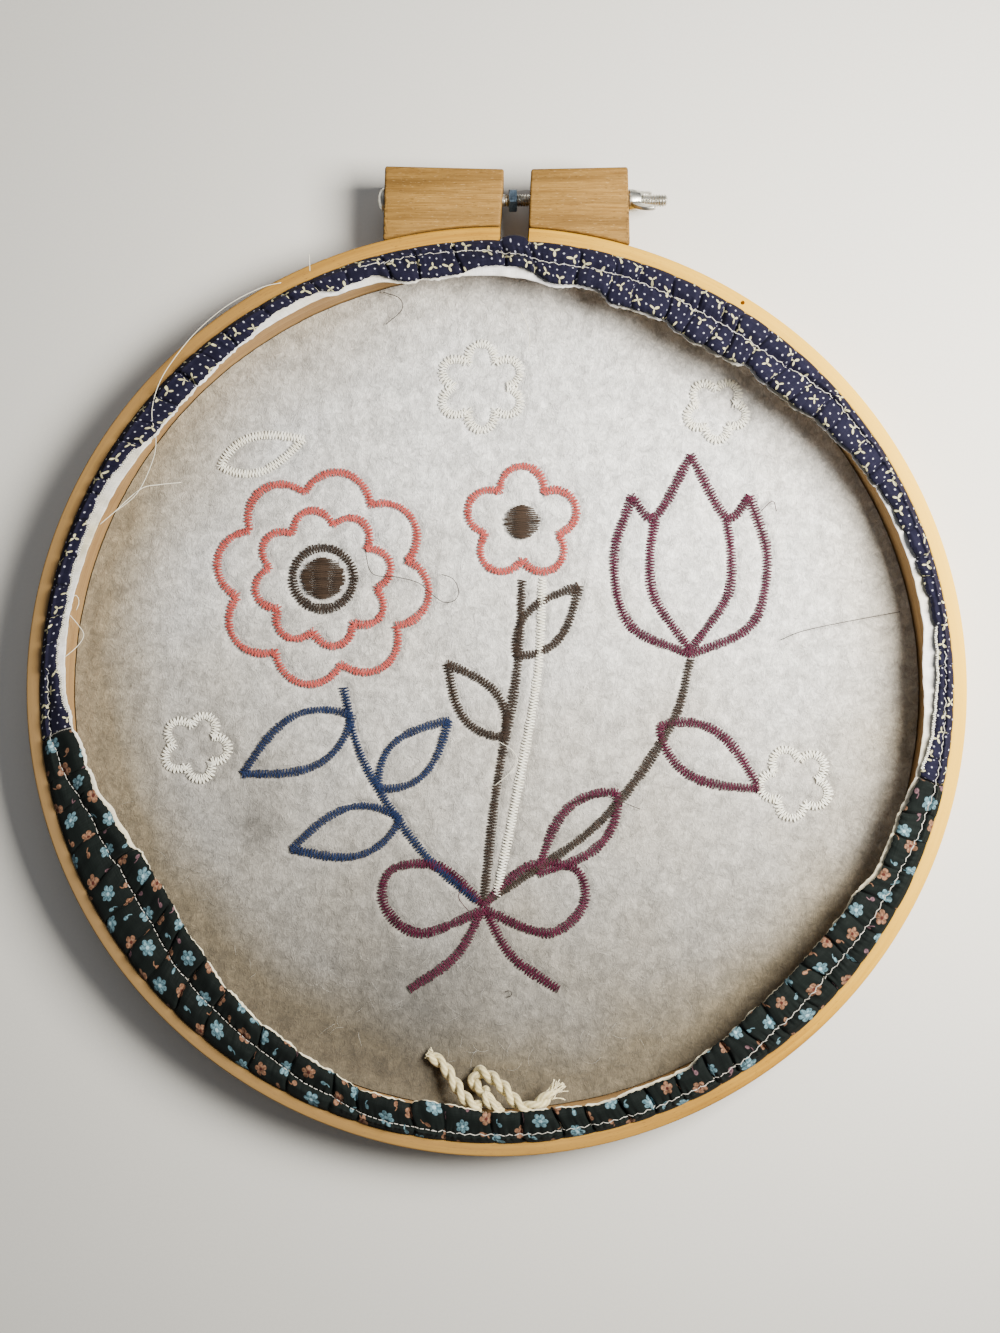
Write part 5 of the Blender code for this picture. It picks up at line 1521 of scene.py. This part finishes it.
# loose threads and hairs, each laid where one lies in the photo or near it: radius and routes
looseThreads = {
    "cream": (0.00014, (
        ((-.0813, .1542, .0236), (-.0887, .1520, .0246), (-.1009, .1455, .0250), (-.1130, .1360, .0236),
         (-.1217, .1247, .0250), (-.1269, .1151, .0262), (-.1295, .1047, .0258), (-.1286, .0952, .0232),
         (-.1304, .0873, .0212), (-.1364, .0752, .0206), (-.1451, .0674, .0222), (-.1495, .0630, .0240)),
        ((-.1451, .0674, .0222), (-.1356, .0769, .0190), (-.1290, .0792, .0150), (-.1217, .0804, .0120)),
        ((-.0705, .1646, .0252), (-.0702, .1612, .0262), (-.0700, .1577, .0268)),
        ((-.1618, .0289, .0208), (-.1597, .0252, .0172), (-.1583, .0216, .0150), (-.1602, .0175, .0160),
         (-.1640, .0131, .0196)),
        ((-.1623, .0350, .0206), (-.1603, .0366, .0180), (-.1596, .0340, .0168), (-.1606, .0310, .0170)),
        ((.0090, .1440, .0220), (.0118, .1400, .0150), (.0128, .1360, .0080), (.0124, .1330, .0052)),
        ((.0010, -.0200, .0052), (.0060, -.0232, .0058), (.0080, -.0280, .0054), (.0040, -.0330, .0056),
         (-.0010, -.0372, .0052)))),
    "brown": (0.00016, (
        ((-.0442, .1554, .0060), (-.0379, .1528, .0070), (-.0370, .1483, .0068), (-.0433, .1429, .0056)),
        ((-.0515, .0555, .0056), (-.0486, .0458, .0060), (-.0388, .0443, .0062), (-.0306, .0421, .0058),
         (-.0261, .0383, .0064), (-.0209, .0346, .0062), (-.0164, .0353, .0060), (-.0149, .0391, .0062),
         (-.0171, .0436, .0064), (-.0216, .0454, .0058)),
        ((.1106, .0198, .0054), (.1190, .0232, .0066), (.1345, .0266, .0070), (.1571, .0308, .0064)),
        ((.0032, -.1177, .0050), (.0052, -.1170, .0056), (.0058, -.1190, .0054), (.0040, -.1197, .0050)),
        ((.0290, -.0440, .0052), (.0410, -.0410, .0060), (.0560, -.0462, .0056)))),
    "plum": (0.00017, (
        ((-.0110, -.0860, .0060), (-.0150, -.0800, .0068), (-.0120, -.0745, .0064),
         (-.0170, -.0700, .0058)),
        ((.1030, .0700, .0056), (.1075, .0740, .0064), (.1090, .0700, .0060)))),
}
for colour, (radius, paths) in looseThreads.items():
    shape = newShape()
    for path in paths:
        addTube(shape, smoothRoute(path, 0.0012), radius, 5)
    material = bpy.data.materials[colour + "Thread"]
    addPiece(colour + "Loose", shapeMesh(colour + "Loose", shape), material)


def strayFibres():
    # fine fibres that stand out of the felt
    hair = {"count": 700, "seed": 9, "within": 0.150, "bend": 260, "length": (0.003, 0.009), "steps": 6,
            "lift": 0.0002, "arch": 0.0009, "radius": 0.00003}
    rng = random.Random(hair["seed"])
    shape = newShape()
    for i in range(hair["count"]):
        reach, turn = hair["within"] * math.sqrt(rng.random()), rng.uniform(0, math.tau)
        x, y = reach * math.cos(turn), reach * math.sin(turn)
        heading, bend = rng.uniform(0, math.tau), rng.uniform(-hair["bend"], hair["bend"])
        size = rng.uniform(*hair["length"])
        path = []
        for step in range(hair["steps"] + 1):
            arch = hair["arch"] * math.sin(math.pi * (step / hair["steps"]))
            path.append((x, y, float(feltHeight(x, y)[0]) + hair["lift"] + arch))
            x += math.cos(heading) * size / hair["steps"]
            y += math.sin(heading) * size / hair["steps"]
            heading += bend * size / hair["steps"]
        addTube(shape, path, hair["radius"], 3)
    return shape


# pale polyester fibre: thin and slightly glossy, some greyer than others
fibre, fibreShader, add = newMaterial("looseFibre", Roughness=0.6, Sheen_Weight=0.3)
tone = add("TexNoise", add("TexCoord").outputs["Object"], named={"Scale": 60.0})
colour = add("Mix", tone, linear("#8f8b84"), linear("#dedbd2"), data_type="RGBA")
wire(fibre, fibreShader, Base_Color=colour)
addPiece("strayFibres", shapeMesh("strayFibres", strayFibres()), fibre)
print("loose threads done")

# floor and light

floor = {"size": 6.0, "drop": 0.0004}
bpy.ops.mesh.primitive_plane_add(size=floor["size"], location=(0, 0, -floor["drop"]))
ground = bpy.context.object
ground.name = "studioFloor"
# matt, uncoated paper with a faint fibrous grain
paper, paperShader, add = newMaterial("paleStudioPaper")
grain = add("TexNoise", add("TexCoord").outputs["Object"], named={"Scale": 900.0, "Detail": 2.0})
colour = add("Mix", grain, linear("#d3d1cc"), linear("#dbd9d4"), data_type="RGBA")
wire(paper, paperShader, Base_Color=colour, Roughness=add("MapRange", grain, 0.3, 0.7, 0.8, 0.9))
ground.data.materials.append(paper)

lights = {
    "key": {"place": (0.32, 0.10, 0.40), "size": 0.25, "power": 10.8, "colour": (1.0, 0.965, 0.88)},
    "fill": {"place": (-0.10, 0.80, 0.85), "size": 1.0, "power": 2.5, "colour": (0.95, 0.97, 1.0)},
}
for name, light in lights.items():
    data = bpy.data.lights.new(name, "AREA")
    data.size = light["size"]
    data.energy = light["power"]
    data.color = light["colour"]
    lamp = bpy.data.objects.new(name, data)
    lamp.location = light["place"]
    lamp.rotation_euler = (Vector((0, 0, 0)) - Vector(light["place"])).to_track_quat("-Z", "Y").to_euler()
    bpy.context.scene.collection.objects.link(lamp)
sky = {"Color": (0.90, 0.92, 0.95, 1), "Strength": 0.14}
world = bpy.data.worlds.new("studio")
world.use_nodes = True
for socket, value in sky.items():
    world.node_tree.nodes["Background"].inputs[socket].default_value = value
bpy.context.scene.world = world

print("all pieces done")
